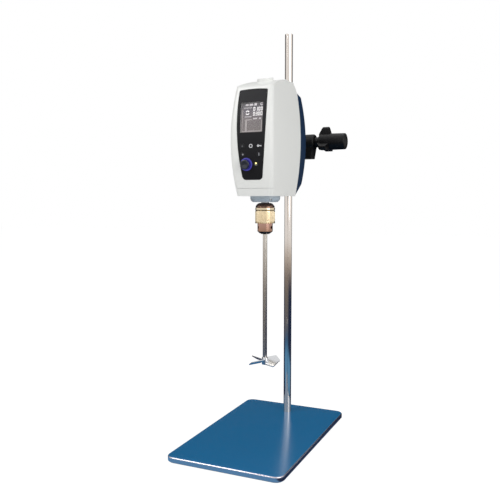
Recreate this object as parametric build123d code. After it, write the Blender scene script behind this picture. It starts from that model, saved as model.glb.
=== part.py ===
from build123d import *
import math
import os

# Overhead laboratory stirrer on a plate stand, in millimetres, +Z up.
# The origin is the middle of the stand's underside. X runs to the right, Y from the front to the column.

# ---------------------------------------------------------------- stand
PLATE_WIDTH = 220.0
PLATE_DEPTH = 360.0
PLATE_THICK = 9.5
PLATE_CORNER_R = 16.0
PLATE_EDGE_R = 2.5
MAT_THICK = 1.5
MAT_INSET = 3.0
COLUMN_D = 16.0
COLUMN_LENGTH = 782.0
COLUMN_FROM_REAR = 47.0
COLUMN_CHAMFER = 1.0
COLUMN_SCREW_D = 10.0
COLUMN_SCREW_HEAD_D = 20.0
COLUMN_SCREW_GRIP = 24.0

# ---------------------------------------------------------------- clamp
ROD_D = 13.0
ROD_OFFSET = 28.0
ROD_HEIGHT = 563.0
ROD_TAIL = 62.0
ROD_CHAMFER = 0.8
BOSS_BELOW_ROD = 33.0
BOSS_ABOVE_ROD = 14.0
BOSS_COLUMN_R = 19.0
BOSS_ROD_R = 12.0
BOSS_ROD_LENGTH = 32.0
BOSS_WEB_DEPTH = 26.0
BOSS_RIGHT = 58.5
BOSS_LEFT = 27.0
BOSS_SCREW_R = 16.0
BOSS_SCREW_EDGE_R = 4.0
BOSS_FOOT_RIGHT = 52.5
BOSS_SHOULDER = (57.0, 6.0)
BOSS_EDGE_R = 1.5
COLUMN_SCREW_DROP = 9.0
CLAMP_SCREW_D = 10.0
PAD_D = 9.0
PAD_THICK = 3.0
KNOB_LENGTH = 65.3
KNOB_R = 16.5
KNOB_NECK_R = 10.0
KNOB_NECK_LENGTH = 8.0
KNOB_FLARE = 5.0
KNOB_CROWN = 3.5
KNOB_TAPER = 0.6
KNOB_ROUND = 2.2
KNOB_INSERT_DEPTH = 31.5
WING_COUNT = 3
WING_REACH = 29.5
WING_ROOT = (8.5, 32.5)
WING_TIP = (16.6, 28.2)
WING_THICK = 10.0

# ---------------------------------------------------------------- head outline
HEAD_BOTTOM = 465.0
HEAD_FRONT = 119.0
FRONT_ARC_R = 309.0
FRONT_ARC_Z = 559.0
FRONT_TOP_Z = 651.0
HALF_WIDTH = 39.8
SIDE_ARC_R = 760.0
ROOF_MIDDLE = (-52.0, 667.0)
ROOF_PEAK = (-5.0, 676.0)
ROOF_BACK = (14.0, 655.0)
ROOF_RIDGE = 675.5
ROOF_CROWN = 5.2
JOINT_MIDDLE = (19.0, 575.0)
JOINT_BOTTOM_Y = 7.0
REAR_TOP = (45.0, 646.0)
REAR_MIDDLE = (58.0, 575.0)
REAR_LOW = (47.0, 496.0)
REAR_STEP = 1.2
WALL = 3.0
REAR_WALL = 2.6
FRONT_EDGE_R = 8.0
ROOF_EDGE_R = 4.0
REAR_EDGE_R = 9.0
FASCIA_DEPTH = 10.0
SEAM_Z = 478.0
SEAM_GAP = 0.4
TURRET_R = 15.5
TURRET_TOP = 667.0
TURRET_LEAN = 12.0
CAP_R = 14.0
CAP_THICK = 4.6
CAP_PLUG_R = 9.8
CAP_PLUG_DEPTH = 8.0
CAP_HOLLOW_DROP = 3.0
CAP_BORE_R = 10.0

# ---------------------------------------------------------------- control panel
PANEL_SHIFT = 0.8
PANEL_TOP_Z = 644.0
PANEL_BOTTOM_Z = 492.4
PANEL_HALF_TOP = 25.8
PANEL_HALF_MIDDLE = 26.6
PANEL_MIDDLE_Z = 588.0
PANEL_HALF_BOTTOM = 17.8
PANEL_TOP_ARCH = 1.5
PANEL_TOP_CORNER_R = 2.5
PANEL_BOTTOM_CORNER_R = 7.0
PANEL_PROUD = 0.4
PANEL_DEPTH = 1.2
PANEL_CLEARANCE = 0.15
WINDOW_WIDTH = 41.0
WINDOW_HEIGHT = 51.0
WINDOW_Z = 597.3
WINDOW_CORNER_R = 1.5
WINDOW_THICK = 1.0
KEY_SIZE = (9.6, 7.0)
KEY_CORNER_R = 2.2
KEY_PLACES = [(-15.7, 549.0), (0.0, 549.0), (15.7, 549.0), (-15.2, 535.0), (14.6, 535.0)]
KEY_PROUD = 0.8
KEY_STEM = 4.0
KEY_FLANGE = 1.2
KEY_FLANGE_THICK = 1.0
KEY_TRAVEL_ROOM = 0.9
KEY_GAP = 0.15
MAT_SHEET = 1.2
DIAL_PLACE = (-9.6, 518.5)
DIAL_R = 8.3
DIAL_HEIGHT = 8.5
DIAL_FLUTES = 24
RING_R = 11.0
RING_PROUD = 1.6
LAMP_PLACE = (8.4, 520.0)
LAMP_R = 1.6
ENCODER_SHAFT_R = 3.0
ENCODER_BODY = (13.0, 13.0, 4.5)

# ---------------------------------------------------------------- drive
SPINDLE_Y = -55.3
SPINDLE_BORE_R = 5.2
SPINDLE_NOSE_R = 7.0
SPINDLE_BEARING_R = 8.5
SPINDLE_MIDDLE_R = 10.0
SPINDLE_TOP_R = 7.5
SPINDLE_TOP_GAP = 2.0
BEARING_OUTER_R = 17.5
BEARING_WIDTH = 10.0
BEARING_PITCH_R = 13.0
BALL_R = 2.38
BALL_COUNT = 9
RING_WALL = 2.7
RACE_CLEARANCE = 0.05
LOWER_BEARING_Z = 473.0
UPPER_BEARING_Z = 577.0
TUBE_R = 23.0
TUBE_FLANGE_R = 27.0
TUBE_FLANGE_THICK = 4.5
SHELF_THICK = 6.0
SHELF_TOP_Z = 593.0
SHELF_HALF = 28.0
BACK_PLATE_Y = 31.0
BACK_PLATE_THICK = 5.0
BACK_PLATE_LOW = 530.0
BACK_PLATE_HIGH = 640.0
BACK_PLATE_HALF = 27.0
RIB_THICK = 4.0
RIB_DROP = 34.0
MOTOR_Y = 1.0
MOTOR_R = 28.0
MOTOR_LENGTH = 66.0
MOTOR_WALL = 6.0
MOTOR_END = 5.0
MOTOR_SHAFT_R = 4.0
MOTOR_PILOT_R = 11.0
MOTOR_PILOT = 3.0
MOTOR_SCREW_CIRCLE_R = 19.0
ROTOR_R = 17.0
ROTOR_LENGTH = 44.0
PULLEY_GAP = 4.0
PULLEY_WIDTH = 10.0
SPINDLE_PULLEY_TEETH = 40
MOTOR_PULLEY_TEETH = 20
TOOTH_PITCH = 3.0
TOOTH_DEPTH = 1.0
BELT_WIDTH = 8.5
BELT_THICK = 1.6
BELT_GAP = 0.2
PULLEY_FLANGE = 1.6
SEAL_THICK = 3.5

# ---------------------------------------------------------------- spindle collar and chuck
COLLAR_TOP_R = 26.8
COLLAR_BOTTOM_R = 21.5
COLLAR_HEIGHT = 10.5
COLLAR_BORE_R = 8.6
COLLAR_EDGE_R = 2.0
CHUCK_GAP = 1.5
CHUCK_CROWN_R = 10.0
CHUCK_SHOULDER_R = 17.4
CHUCK_SHOULDER_DROP = 8.0
SLEEVE_R = 17.75
SLEEVE_LENGTH = 28.2
SLEEVE_BORE_R = 14.7
SLEEVE_GROOVE_DROP = 5.0
SLEEVE_GROOVE_DEPTH = 0.8
SLEEVE_FLUTES = 48
FLUTE_DEPTH = 0.5
KEY_TEETH = 30
KEY_TOOTH_HEIGHT = 2.4
CHUCK_NOSE_R = 13.75
CHUCK_NOSE_LENGTH = 14.5
CHUCK_TIP_R = 9.6
CHUCK_TIP_LENGTH = 3.5
CHUCK_CORE_R = 14.5
CHUCK_SOCKET_DEPTH = 13.0
CHUCK_RUNNING = 0.1
KEY_HOLE_R = 2.6
KEY_HOLE_DEPTH = 4.5
KEY_HOLE_ANGLE = -132.0
JAW_COUNT = 3
JAW_LEAN = 10.0
JAW_R = 3.0
JAW_TIP_R = 5.4
JAW_LENGTH = 27.0
JAW_PROUD = 1.5
JAW_TRAVEL = 6.0
NUT_DROP = 26.0
NUT_HEIGHT = 8.5
SHAFT_D = 8.0
SHAFT_BOTTOM_Z = 160.0
SHAFT_TOP_Z = 476.0
SHAFT_GRIP = 0.05
IMPELLER_R = 32.0
IMPELLER_Z = 166.5
BLADE_COUNT = 4
BLADE_WIDTH = 15.5
BLADE_THICK = 1.5
BLADE_PITCH = 32.0
BLADE_ANGLE = 16.1
HUB_R = 5.6
HUB_HEIGHT = 13.0
HUB_GAP = 0.02

# ---------------------------------------------------------------- rod socket and rear of the head
SOCKET_R = 13.0
SOCKET_OUT = 4.0
SOCKET_FLANGE_R = 19.0
SOCKET_FLANGE = 4.0
SOCKET_SCREW_CIRCLE_R = 15.8
SOCKET_SCREW_R = 1.5
ROD_SEAT = 3.0
SET_SCREW_R = 3.0
COVER_POST_R = 4.5
COVER_POST_X = 21.0
COVER_POST_Z = (538.0, 628.0)
COVER_SCREW_R = 2.0
COVER_SCREW_HEAD_R = 3.6
COVER_SCREW_HEAD = 2.6
COVER_SCREW_SEAT = 45.0
VENT_COUNT = 5
VENT_WIDTH = 40.0
VENT_HEIGHT = 2.6
VENT_PITCH = 6.0
VENT_LOW_Z = 602.0
POCKET_Y = 46.0
INLET_SIZE = (30.0, 23.0)
INLET_CUT = (27.0, 20.0)
INLET_PLACE = (-10.5, 0.0)
INLET_Z = 512.0
INLET_DEPTH = 12.0
INLET_FLANGE = 1.8
INLET_FLOOR = 2.0
BLADE_SINK = 4.5
SWITCH_SIZE = (13.0, 20.0)
SWITCH_FRAME = 1.5
SWITCH_X = 16.0
SWITCH_TILT = 10.0
SWITCH_PIN_R = 1.2
SWITCH_PIN_GRIP = 1.0
BOARD_THICK = 1.6
CONTROL_BOARD_Y = -103.5
CONTROL_BOARD = (27.0, 503.0, 634.0)
BOARD_CHIPS = ((-8.0, 600.0, 12.0), (10.0, 578.0, 8.0), (-6.0, 548.0, 10.0))
CHIP_HEIGHT = 2.0
POWER_BOARD_Z = 482.0
POWER_BOARD = (26.0, -29.0, 7.0)
TRANSFORMER = (-18.0, 2.0, 8.0, 26.0)
TRANSFORMER_HEIGHT = 20.0
CAPACITOR_X = 14.0
CAPACITOR_Y = (12.0, 28.0)
CAPACITOR_R = 6.5
CAPACITOR_HEIGHT = 24.0
STANDOFF_R = 3.0
SMALL_SCREW_R = 1.5

FIT = 0.02
RUNNING = 0.05
SLACK = 0.3

# ---------------------------------------------------------------- places worked out from the sizes above
PLATE_TOP = MAT_THICK + PLATE_THICK
COLUMN_R = COLUMN_D / 2
COLUMN_Y = PLATE_DEPTH / 2 - COLUMN_FROM_REAR
ROD_R = ROD_D / 2
ROD_Z = PLATE_TOP + ROD_HEIGHT
HEAD_X = ROD_OFFSET
FRONT_ARC_Y = FRONT_ARC_R - HEAD_FRONT
COLLAR_BOTTOM = HEAD_BOTTOM - COLLAR_HEIGHT
CHUCK_TOP = COLLAR_BOTTOM - CHUCK_GAP
SLEEVE_TOP = CHUCK_TOP - CHUCK_SHOULDER_DROP
SLEEVE_BOTTOM = SLEEVE_TOP - SLEEVE_LENGTH
NOSE_BOTTOM = SLEEVE_BOTTOM - CHUCK_NOSE_LENGTH
TIP_BOTTOM = NOSE_BOTTOM - CHUCK_TIP_LENGTH
JAW_BOTTOM = TIP_BOTTOM - JAW_PROUD
NUT_BOTTOM = JAW_BOTTOM + NUT_DROP - NUT_HEIGHT / 2
SHAFT_R = SHAFT_D / 2
PULLEY_Z = SHELF_TOP_Z + PULLEY_GAP
SPINDLE_PULLEY_R = SPINDLE_PULLEY_TEETH * TOOTH_PITCH / (2 * math.pi)
MOTOR_PULLEY_R = MOTOR_PULLEY_TEETH * TOOTH_PITCH / (2 * math.pi)
MOTOR_TOP = SHELF_TOP_Z - SHELF_THICK
MOTOR_BOTTOM = MOTOR_TOP - MOTOR_LENGTH
BACK_PLATE_REAR = BACK_PLATE_Y + BACK_PLATE_THICK
SOCKET_REAR = REAR_MIDDLE[0] + SOCKET_OUT
FAR = 400.0


# ---------------------------------------------------------------- helpers
def cylinder_between(start, end, radius):
    """Round bar of a radius from one point to another."""
    run = Vector(*end) - Vector(*start)
    return extrude(Plane(origin=start, z_dir=run) * Circle(radius), run.length)


def post(x, y, low, high, radius):
    """Upright round bar."""
    return cylinder_between((x, y, low), (x, y, high), radius)


def block(low, high):
    """Box between two opposite corners."""
    size = [b - a for a, b in zip(low, high)]
    return Pos(*low) * Box(*size, align=(Align.MIN, Align.MIN, Align.MIN))


def turned(outline, plane):
    """Solid turned from (radius, height) points about the z axis of a plane."""
    face = make_face(Polyline(*outline, close=True))
    return plane.location * revolve(Plane.XZ * face, Axis.Z)


def upright(x, y, z=0.0):
    """Plane with its z axis up through a point."""
    return Plane(origin=(x, y, z), x_dir=(1, 0, 0), z_dir=(0, 0, 1))


def around(count, first=0.0):
    """Angles of equally spaced copies."""
    return [first + 360.0 * step / count for step in range(count)]


def polar(radius, angle):
    """Point of a circle in the plane, from its angle in degrees."""
    return radius * math.cos(math.radians(angle)), radius * math.sin(math.radians(angle))


def join(pieces):
    """Fuses a list of solids."""
    result = pieces[0]
    for piece in pieces[1:]:
        result = result + piece
    return result


# ---------------------------------------------------------------- stand
def base_plate():
    """Painted steel plate with rounded corners, rounded edges and the column's screw hole."""
    outline = RectangleRounded(PLATE_WIDTH, PLATE_DEPTH, PLATE_CORNER_R)
    plate = extrude(Pos(0, 0, MAT_THICK) * outline, PLATE_THICK)
    plate = fillet(plate.faces().sort_by(Axis.Z)[-1].edges(), PLATE_EDGE_R)
    plate = chamfer(plate.faces().sort_by(Axis.Z)[0].edges(), PLATE_EDGE_R / 3)
    plate -= post(0, COLUMN_Y, 0, PLATE_TOP, COLUMN_SCREW_D / 2 + SLACK)
    return plate - post(0, COLUMN_Y, 0, MAT_THICK + PLATE_THICK / 2, COLUMN_SCREW_HEAD_D / 2 + SLACK)


def base_mat():
    """Non-slip rubber sheet glued under the plate."""
    size = (PLATE_WIDTH - 2 * MAT_INSET, PLATE_DEPTH - 2 * MAT_INSET)
    return extrude(RectangleRounded(*size, PLATE_CORNER_R - MAT_INSET), MAT_THICK)


def column():
    """Chromed column, tapped at its foot."""
    bar = post(0, COLUMN_Y, PLATE_TOP, PLATE_TOP + COLUMN_LENGTH, COLUMN_R)
    bar = chamfer(bar.faces().sort_by(Axis.Z)[-1].edges(), COLUMN_CHAMFER)
    depth = COLUMN_SCREW_GRIP + 2 * SLACK
    return bar - post(0, COLUMN_Y, PLATE_TOP, PLATE_TOP + depth, COLUMN_SCREW_D / 2 + RUNNING)


def column_screw():
    """Hexagon socket screw that holds the column from below."""
    seat = MAT_THICK + PLATE_THICK / 2
    head_height = PLATE_THICK / 2 - SLACK
    screw = post(0, COLUMN_Y, seat, PLATE_TOP + COLUMN_SCREW_GRIP, COLUMN_SCREW_D / 2)
    screw += post(0, COLUMN_Y, seat - head_height, seat, COLUMN_SCREW_HEAD_D / 2)
    socket = Pos(0, COLUMN_Y, seat - head_height) * RegularPolygon(COLUMN_SCREW_D * 0.4, 6)
    return screw - extrude(socket, head_height * 0.7)


# ---------------------------------------------------------------- clamp
def boss_head():
    """Cross clamp: a bore for the column, one for the rod beside it, and a tapped barrel for each screw."""
    low = ROD_Z - BOSS_BELOW_ROD
    high = ROD_Z + BOSS_ABOVE_ROD
    column_screw_z = ROD_Z - COLUMN_SCREW_DROP
    foot = Polyline(
        (0, low), (BOSS_FOOT_RIGHT, low), (BOSS_SHOULDER[0], ROD_Z - BOSS_SHOULDER[1]), (0, ROD_Z - BOSS_SHOULDER[1]),
        close=True,
    )
    web = Pos(0, COLUMN_Y, 0) * extrude(Plane.XZ * make_face(foot), BOSS_WEB_DEPTH / 2, both=True)
    web = fillet(web.edges().filter_by(Axis.Y), BOSS_EDGE_R)
    half = BOSS_ROD_LENGTH / 2
    rod_front = (ROD_OFFSET, COLUMN_Y - half, ROD_Z)
    rod_back = (ROD_OFFSET, COLUMN_Y + half, ROD_Z)
    barrel_start = ROD_OFFSET + BOSS_ROD_R - BOSS_EDGE_R / 2
    rod_barrel = cylinder_between((barrel_start, COLUMN_Y, ROD_Z), (BOSS_RIGHT, COLUMN_Y, ROD_Z), BOSS_SCREW_R)
    rod_barrel = fillet(rod_barrel.edges().sort_by(Axis.X)[-1:], BOSS_SCREW_EDGE_R)
    body = join([
        web,
        post(0, COLUMN_Y, low, high, BOSS_COLUMN_R),
        cylinder_between(rod_front, rod_back, BOSS_ROD_R),
        rod_barrel,
        cylinder_between((-BOSS_LEFT, COLUMN_Y, column_screw_z), (0, COLUMN_Y, column_screw_z), BOSS_SCREW_R),
    ])
    body -= post(0, COLUMN_Y, low, high, COLUMN_R + RUNNING)
    body -= cylinder_between(rod_front, rod_back, ROD_R + RUNNING)
    tapping = CLAMP_SCREW_D / 2 + RUNNING
    body -= cylinder_between((ROD_OFFSET, COLUMN_Y, ROD_Z), (BOSS_RIGHT, COLUMN_Y, ROD_Z), tapping)
    return body - cylinder_between((-BOSS_LEFT, COLUMN_Y, column_screw_z), (0, COLUMN_Y, column_screw_z), tapping)


def rod_clamp_plane():
    """Face of the rod clamp's barrel, its z axis pointing out along the screw."""
    return Plane(origin=(BOSS_RIGHT, COLUMN_Y, ROD_Z), x_dir=(0, 0, 1), z_dir=(1, 0, 0))


def column_clamp_plane():
    """Face of the column clamp's barrel, its z axis pointing out along the screw."""
    return Plane(origin=(-BOSS_LEFT, COLUMN_Y, ROD_Z - COLUMN_SCREW_DROP), x_dir=(0, 0, 1), z_dir=(-1, 0, 0))


def clamp_pad(plane, depth):
    """Pressure pad between a clamp screw and the bar that it grips, at a depth below the barrel's face."""
    start = -depth + SHAFT_GRIP
    return plane.location * turned([(0, start), (PAD_D / 2, start), (PAD_D / 2, start + PAD_THICK),
                                    (0, start + PAD_THICK)], Plane.XY)


def clamp_screw(plane, depth):
    """Clamp screw, from its pad into the knob's insert."""
    start = -depth + SHAFT_GRIP + PAD_THICK + FIT
    end = KNOB_INSERT_DEPTH - 2 * FIT
    return plane.location * extrude(Pos(0, 0, start) * Circle(CLAMP_SCREW_D / 2), end - start)


def clamp_knob(plane):
    """Moulded knob: a neck, a flared barrel with a crowned end, and three tapered wings at its inner end."""
    neck_end = KNOB_NECK_LENGTH
    flare_end = neck_end + KNOB_FLARE
    rim = (KNOB_R - KNOB_TAPER, KNOB_LENGTH - KNOB_CROWN)
    outline = Curve() + [
        Line((0, SEAM_GAP), (KNOB_NECK_R, SEAM_GAP)),
        Line((KNOB_NECK_R, SEAM_GAP), (KNOB_NECK_R, neck_end)),
        TangentArc((KNOB_NECK_R, neck_end), (KNOB_R, flare_end), tangent=(1, 0)),
        Line((KNOB_R, flare_end), rim),
        TangentArc((0, KNOB_LENGTH), rim, tangent=(1, 0)),
        Line((0, KNOB_LENGTH), (0, SEAM_GAP)),
    ]
    profile = make_face(outline)
    profile = fillet(profile.vertices().sort_by_distance(rim)[:1], KNOB_ROUND)
    body = revolve(Plane.XZ * profile, Axis.Z)
    wing_side = Polyline((KNOB_R / 2, WING_ROOT[0]), (KNOB_R - 1, WING_ROOT[0]), (WING_REACH, WING_TIP[0]),
                         (WING_REACH, WING_TIP[1]), (KNOB_R - 1, WING_ROOT[1]), (KNOB_R / 2, WING_ROOT[1]),
                         close=True)
    wing_end = Pos(WING_REACH / 2, 0) * RectangleRounded(WING_REACH, WING_THICK, WING_THICK / 2 - 1.0)
    wing = extrude(Plane.XZ * make_face(wing_side), WING_THICK, both=True) & extrude(wing_end, KNOB_LENGTH)
    for angle in around(WING_COUNT):
        body += Rot(0, 0, angle) * wing
    body -= extrude(Circle(CLAMP_SCREW_D / 2 + FIT), KNOB_INSERT_DEPTH)
    return plane.location * body


def support_rod():
    """Stainless rod from the head's socket through the boss head."""
    start = BACK_PLATE_REAR + ROD_SEAT
    end = COLUMN_Y + ROD_TAIL
    bar = cylinder_between((ROD_OFFSET, start, ROD_Z), (ROD_OFFSET, end, ROD_Z), ROD_R)
    return chamfer(bar.faces().filter_by(Plane.XZ).edges(), ROD_CHAMFER)


# ---------------------------------------------------------------- head casing
def front_y(height, inset=0.0):
    """Y of the bulged front face at a height."""
    radius = FRONT_ARC_R - inset
    return FRONT_ARC_Y - math.sqrt(radius ** 2 - (height - FRONT_ARC_Z) ** 2)


def half_width(height, inset=0.0):
    """Half width of the barrel-shaped head at a height."""
    radius = SIDE_ARC_R - inset
    return HALF_WIDTH - SIDE_ARC_R + math.sqrt(radius ** 2 - (height - FRONT_ARC_Z) ** 2)


def barrel(inset, low=HEAD_BOTTOM, high=ROOF_RIDGE):
    """The head's front view carried from front to back: bowed sides under a crowned roof."""
    low = low + inset
    edge = high - ROOF_CROWN - inset
    lower = half_width(low, inset)
    middle = half_width(FRONT_ARC_Z, inset)
    upper = half_width(edge, inset)
    outline = Curve() + [
        Line((HEAD_X - lower, low), (HEAD_X + lower, low)),
        ThreePointArc((HEAD_X + lower, low), (HEAD_X + middle, FRONT_ARC_Z), (HEAD_X + upper, edge)),
        ThreePointArc((HEAD_X + upper, edge), (HEAD_X, high - inset), (HEAD_X - upper, edge)),
        ThreePointArc((HEAD_X - upper, edge), (HEAD_X - middle, FRONT_ARC_Z), (HEAD_X - lower, low)),
    ]
    return extrude(Plane.XZ * make_face(outline), FAR, both=True)


def joint_arc():
    """Bowed line, in side view, where the white housing meets the rear cover."""
    return ThreePointArc(ROOF_BACK, JOINT_MIDDLE, (JOINT_BOTTOM_Y, HEAD_BOTTOM))


def side_form(inset, open_back):
    """The housing's side view carried across: bulged front, sloping roof, chamfered back."""
    low = HEAD_BOTTOM + inset
    high = FRONT_TOP_Z - inset
    front_low = (front_y(low, inset), low)
    front_high = (front_y(high, inset), high)
    middle = (front_y(FRONT_ARC_Z, inset), FRONT_ARC_Z)
    peak = (ROOF_PEAK[0], ROOF_PEAK[1] - inset)
    back = (ROOF_BACK[0], ROOF_BACK[1] - inset * 1.4)
    roof = (ROOF_MIDDLE[0], ROOF_MIDDLE[1] - inset)
    lines = [ThreePointArc(front_low, middle, front_high), ThreePointArc(front_high, roof, peak), Line(peak, back)]
    if open_back:
        lines += [Line(back, (FAR, back[1])), Line((FAR, back[1]), (FAR, low)), Line((FAR, low), front_low)]
    else:
        lines += [joint_arc(), Line((JOINT_BOTTOM_Y, low), front_low)]
    return extrude(Plane.YZ * make_face(Curve() + lines), FAR, both=True)


def head_shell():
    """Closed white shell of the head, open at its back."""
    outer = side_form(0.0, False) & barrel(0.0)
    outer = outer.solids()[0]
    front = [e for e in outer.edges() if e.center().Y < -100 and abs(e.center().X - HEAD_X) > HALF_WIDTH / 2]
    outer = fillet(front, FRONT_EDGE_R)
    inner = side_form(WALL, True) & barrel(WALL)
    return outer - inner


def front_slab(depth, low):
    """Everything of the head that lies within a depth of the front face and above a height."""
    around_arc = ((HEAD_X - FAR, FRONT_ARC_Y, FRONT_ARC_Z), (HEAD_X + FAR, FRONT_ARC_Y, FRONT_ARC_Z))
    slab = cylinder_between(*around_arc, FRONT_ARC_R + FASCIA_DEPTH)
    slab -= cylinder_between(*around_arc, FRONT_ARC_R - depth)
    return slab & block((HEAD_X - FAR, -FAR, low), (HEAD_X + FAR, 0, ROOF_PEAK[1]))


def skin(out, deep):
    """Thin layer that follows the front face, from a height above it to a depth below it."""
    around_arc = ((HEAD_X - FAR, FRONT_ARC_Y, FRONT_ARC_Z), (HEAD_X + FAR, FRONT_ARC_Y, FRONT_ARC_Z))
    layer = cylinder_between(*around_arc, FRONT_ARC_R + out) - cylinder_between(*around_arc, FRONT_ARC_R - deep)
    return layer & block((HEAD_X - FAR, -FAR, HEAD_BOTTOM), (HEAD_X + FAR, 0, ROOF_PEAK[1]))


def on_front(across, height, lift=0.0):
    """Plane on the front face, x to the right and z out of the face."""
    lean = math.asin((height - FRONT_ARC_Z) / FRONT_ARC_R)
    normal = Vector(0, -math.cos(lean), math.sin(lean))
    foot = Vector(HEAD_X + PANEL_SHIFT + across, front_y(height), height)
    return Plane(origin=foot + normal * lift, x_dir=(1, 0, 0), z_dir=normal)


def through_front(sketch, across, height):
    """Cutter through the front wall and the panel at a place."""
    plane = on_front(across, height, -WALL * 2)
    return extrude(plane * sketch, WALL * 4)


def panel_outline(grow):
    """Shield-shaped face of the control panel in front view."""
    x0 = HEAD_X + PANEL_SHIFT
    top = PANEL_TOP_Z + grow
    bottom = PANEL_BOTTOM_Z - grow
    sides = [PANEL_HALF_TOP + grow, PANEL_HALF_MIDDLE + grow, PANEL_HALF_BOTTOM + grow]
    outline = Curve() + [
        ThreePointArc((x0 - sides[0], top), (x0, top + PANEL_TOP_ARCH), (x0 + sides[0], top)),
        ThreePointArc((x0 + sides[0], top), (x0 + sides[1], PANEL_MIDDLE_Z), (x0 + sides[2], bottom)),
        Line((x0 + sides[2], bottom), (x0 - sides[2], bottom)),
        ThreePointArc((x0 - sides[2], bottom), (x0 - sides[1], PANEL_MIDDLE_Z), (x0 - sides[0], top)),
    ]
    face = make_face(outline)
    corners = face.vertices().sort_by(Axis.Y)
    face = fillet(corners[:2], PANEL_BOTTOM_CORNER_R)
    corners = face.vertices().sort_by(Axis.Y)
    return fillet(corners[-2:], PANEL_TOP_CORNER_R)


def panel_prism(grow):
    """The panel's outline carried through the front of the head."""
    return extrude(Plane.XZ * panel_outline(grow), HEAD_FRONT + FASCIA_DEPTH)


def window_cut(grow):
    """Cutter for the display window."""
    size = (WINDOW_WIDTH + 2 * grow, WINDOW_HEIGHT + 2 * grow)
    sketch = Pos(HEAD_X + PANEL_SHIFT, WINDOW_Z) * RectangleRounded(*size, WINDOW_CORNER_R + grow)
    return extrude(Plane.XZ * sketch, HEAD_FRONT + FASCIA_DEPTH)


def key_cuts(grow):
    """Cutters for the keys."""
    size = (KEY_SIZE[0] + 2 * grow, KEY_SIZE[1] + 2 * grow)
    return [through_front(RectangleRounded(*size, KEY_CORNER_R), *place) for place in KEY_PLACES]


def front_fascia(shell):
    """Front moulding of the head, with a recess for the panel and pillars for the control board."""
    fascia = shell & front_slab(FASCIA_DEPTH, SEAM_Z + SEAM_GAP)
    fascia = fascia.solids().sort_by(SortBy.VOLUME)[-1]
    fascia -= skin(FASCIA_DEPTH, PANEL_DEPTH) & panel_prism(PANEL_CLEARANCE)
    fascia -= window_cut(0.0)
    for cut in key_cuts(KEY_GAP):
        fascia -= cut
    fascia -= through_front(Circle(RING_R - 2.0), *DIAL_PLACE)
    fascia -= through_front(Circle(LAMP_R + FIT), *LAMP_PLACE)
    for x, z in board_corners():
        root = front_y(z, WALL * 0.8)
        pillar = cylinder_between((x, root, z), (x, CONTROL_BOARD_Y - BOARD_THICK, z), STANDOFF_R)
        pillar -= cylinder_between((x, front_y(z, WALL), z), (x, CONTROL_BOARD_Y, z), SMALL_SCREW_R + FIT)
        fascia += pillar
    return fascia


def turret_slab(low, high):
    """Layer that leans with the roof, between two heights above the turret's top."""
    lean = math.radians(TURRET_LEAN)
    plane = Plane(origin=(HEAD_X, SPINDLE_Y, TURRET_TOP), x_dir=(1, 0, 0), z_dir=(0, -math.sin(lean), math.cos(lean)))
    return extrude(plane.offset(low) * Rectangle(TURRET_R * 4, TURRET_R * 4), high - low)


def main_housing(shell):
    """White hood and floor of the head, with the cap's turret and the power board's pillars."""
    housing = shell - front_slab(FASCIA_DEPTH, SEAM_Z)
    housing = housing.solids().sort_by(SortBy.VOLUME)[-1]
    turret = post(HEAD_X, SPINDLE_Y, TURRET_TOP - CAP_PLUG_DEPTH * 2, FAR * 2, TURRET_R) & turret_slab(-CAP_PLUG_DEPTH * 3, 0)
    housing += turret - (side_form(WALL, True) & barrel(WALL))
    housing -= post(HEAD_X, SPINDLE_Y, HEAD_BOTTOM + WALL * 2, FAR * 2, CAP_BORE_R)
    housing -= post(HEAD_X, SPINDLE_Y, HEAD_BOTTOM, HEAD_BOTTOM + WALL, COLLAR_TOP_R - 5.0)
    for angle in around(4, 45.0):
        dx, dy = polar(TUBE_FLANGE_R - 3.0, angle)
        housing -= post(HEAD_X + dx, SPINDLE_Y + dy, HEAD_BOTTOM, HEAD_BOTTOM + WALL, SMALL_SCREW_R + FIT)
    for x, y in power_board_corners():
        housing += post(x, y, HEAD_BOTTOM + WALL / 2, POWER_BOARD_Z, STANDOFF_R)
    return housing


def rear_form(inset, open_front):
    """Side view of the rear cover carried across."""
    top = (REAR_TOP[0] - inset, REAR_TOP[1] - inset)
    middle = (REAR_MIDDLE[0] - inset, REAR_MIDDLE[1])
    low = (REAR_LOW[0] - inset, REAR_LOW[1] + inset)
    tip = (ROOF_BACK[0], ROOF_BACK[1] - inset * 1.3)
    toe = (JOINT_BOTTOM_Y, HEAD_BOTTOM + inset * 1.3)
    lines = [Line(tip, top), ThreePointArc(top, middle, low), Line(low, toe)]
    if open_front:
        lines += [Line(toe, (-FAR, toe[1])), Line((-FAR, toe[1]), (-FAR, tip[1])), Line((-FAR, tip[1]), tip)]
    else:
        lines += [joint_arc()]
    return extrude(Plane.YZ * make_face(Curve() + lines), FAR, both=True)


def inlet_plane():
    """Plane of the rear pocket for the inlet and the switch, z pointing back."""
    return Plane(origin=(HEAD_X, POCKET_Y, INLET_Z), x_dir=(-1, 0, 0), z_dir=(0, 1, 0))


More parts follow.
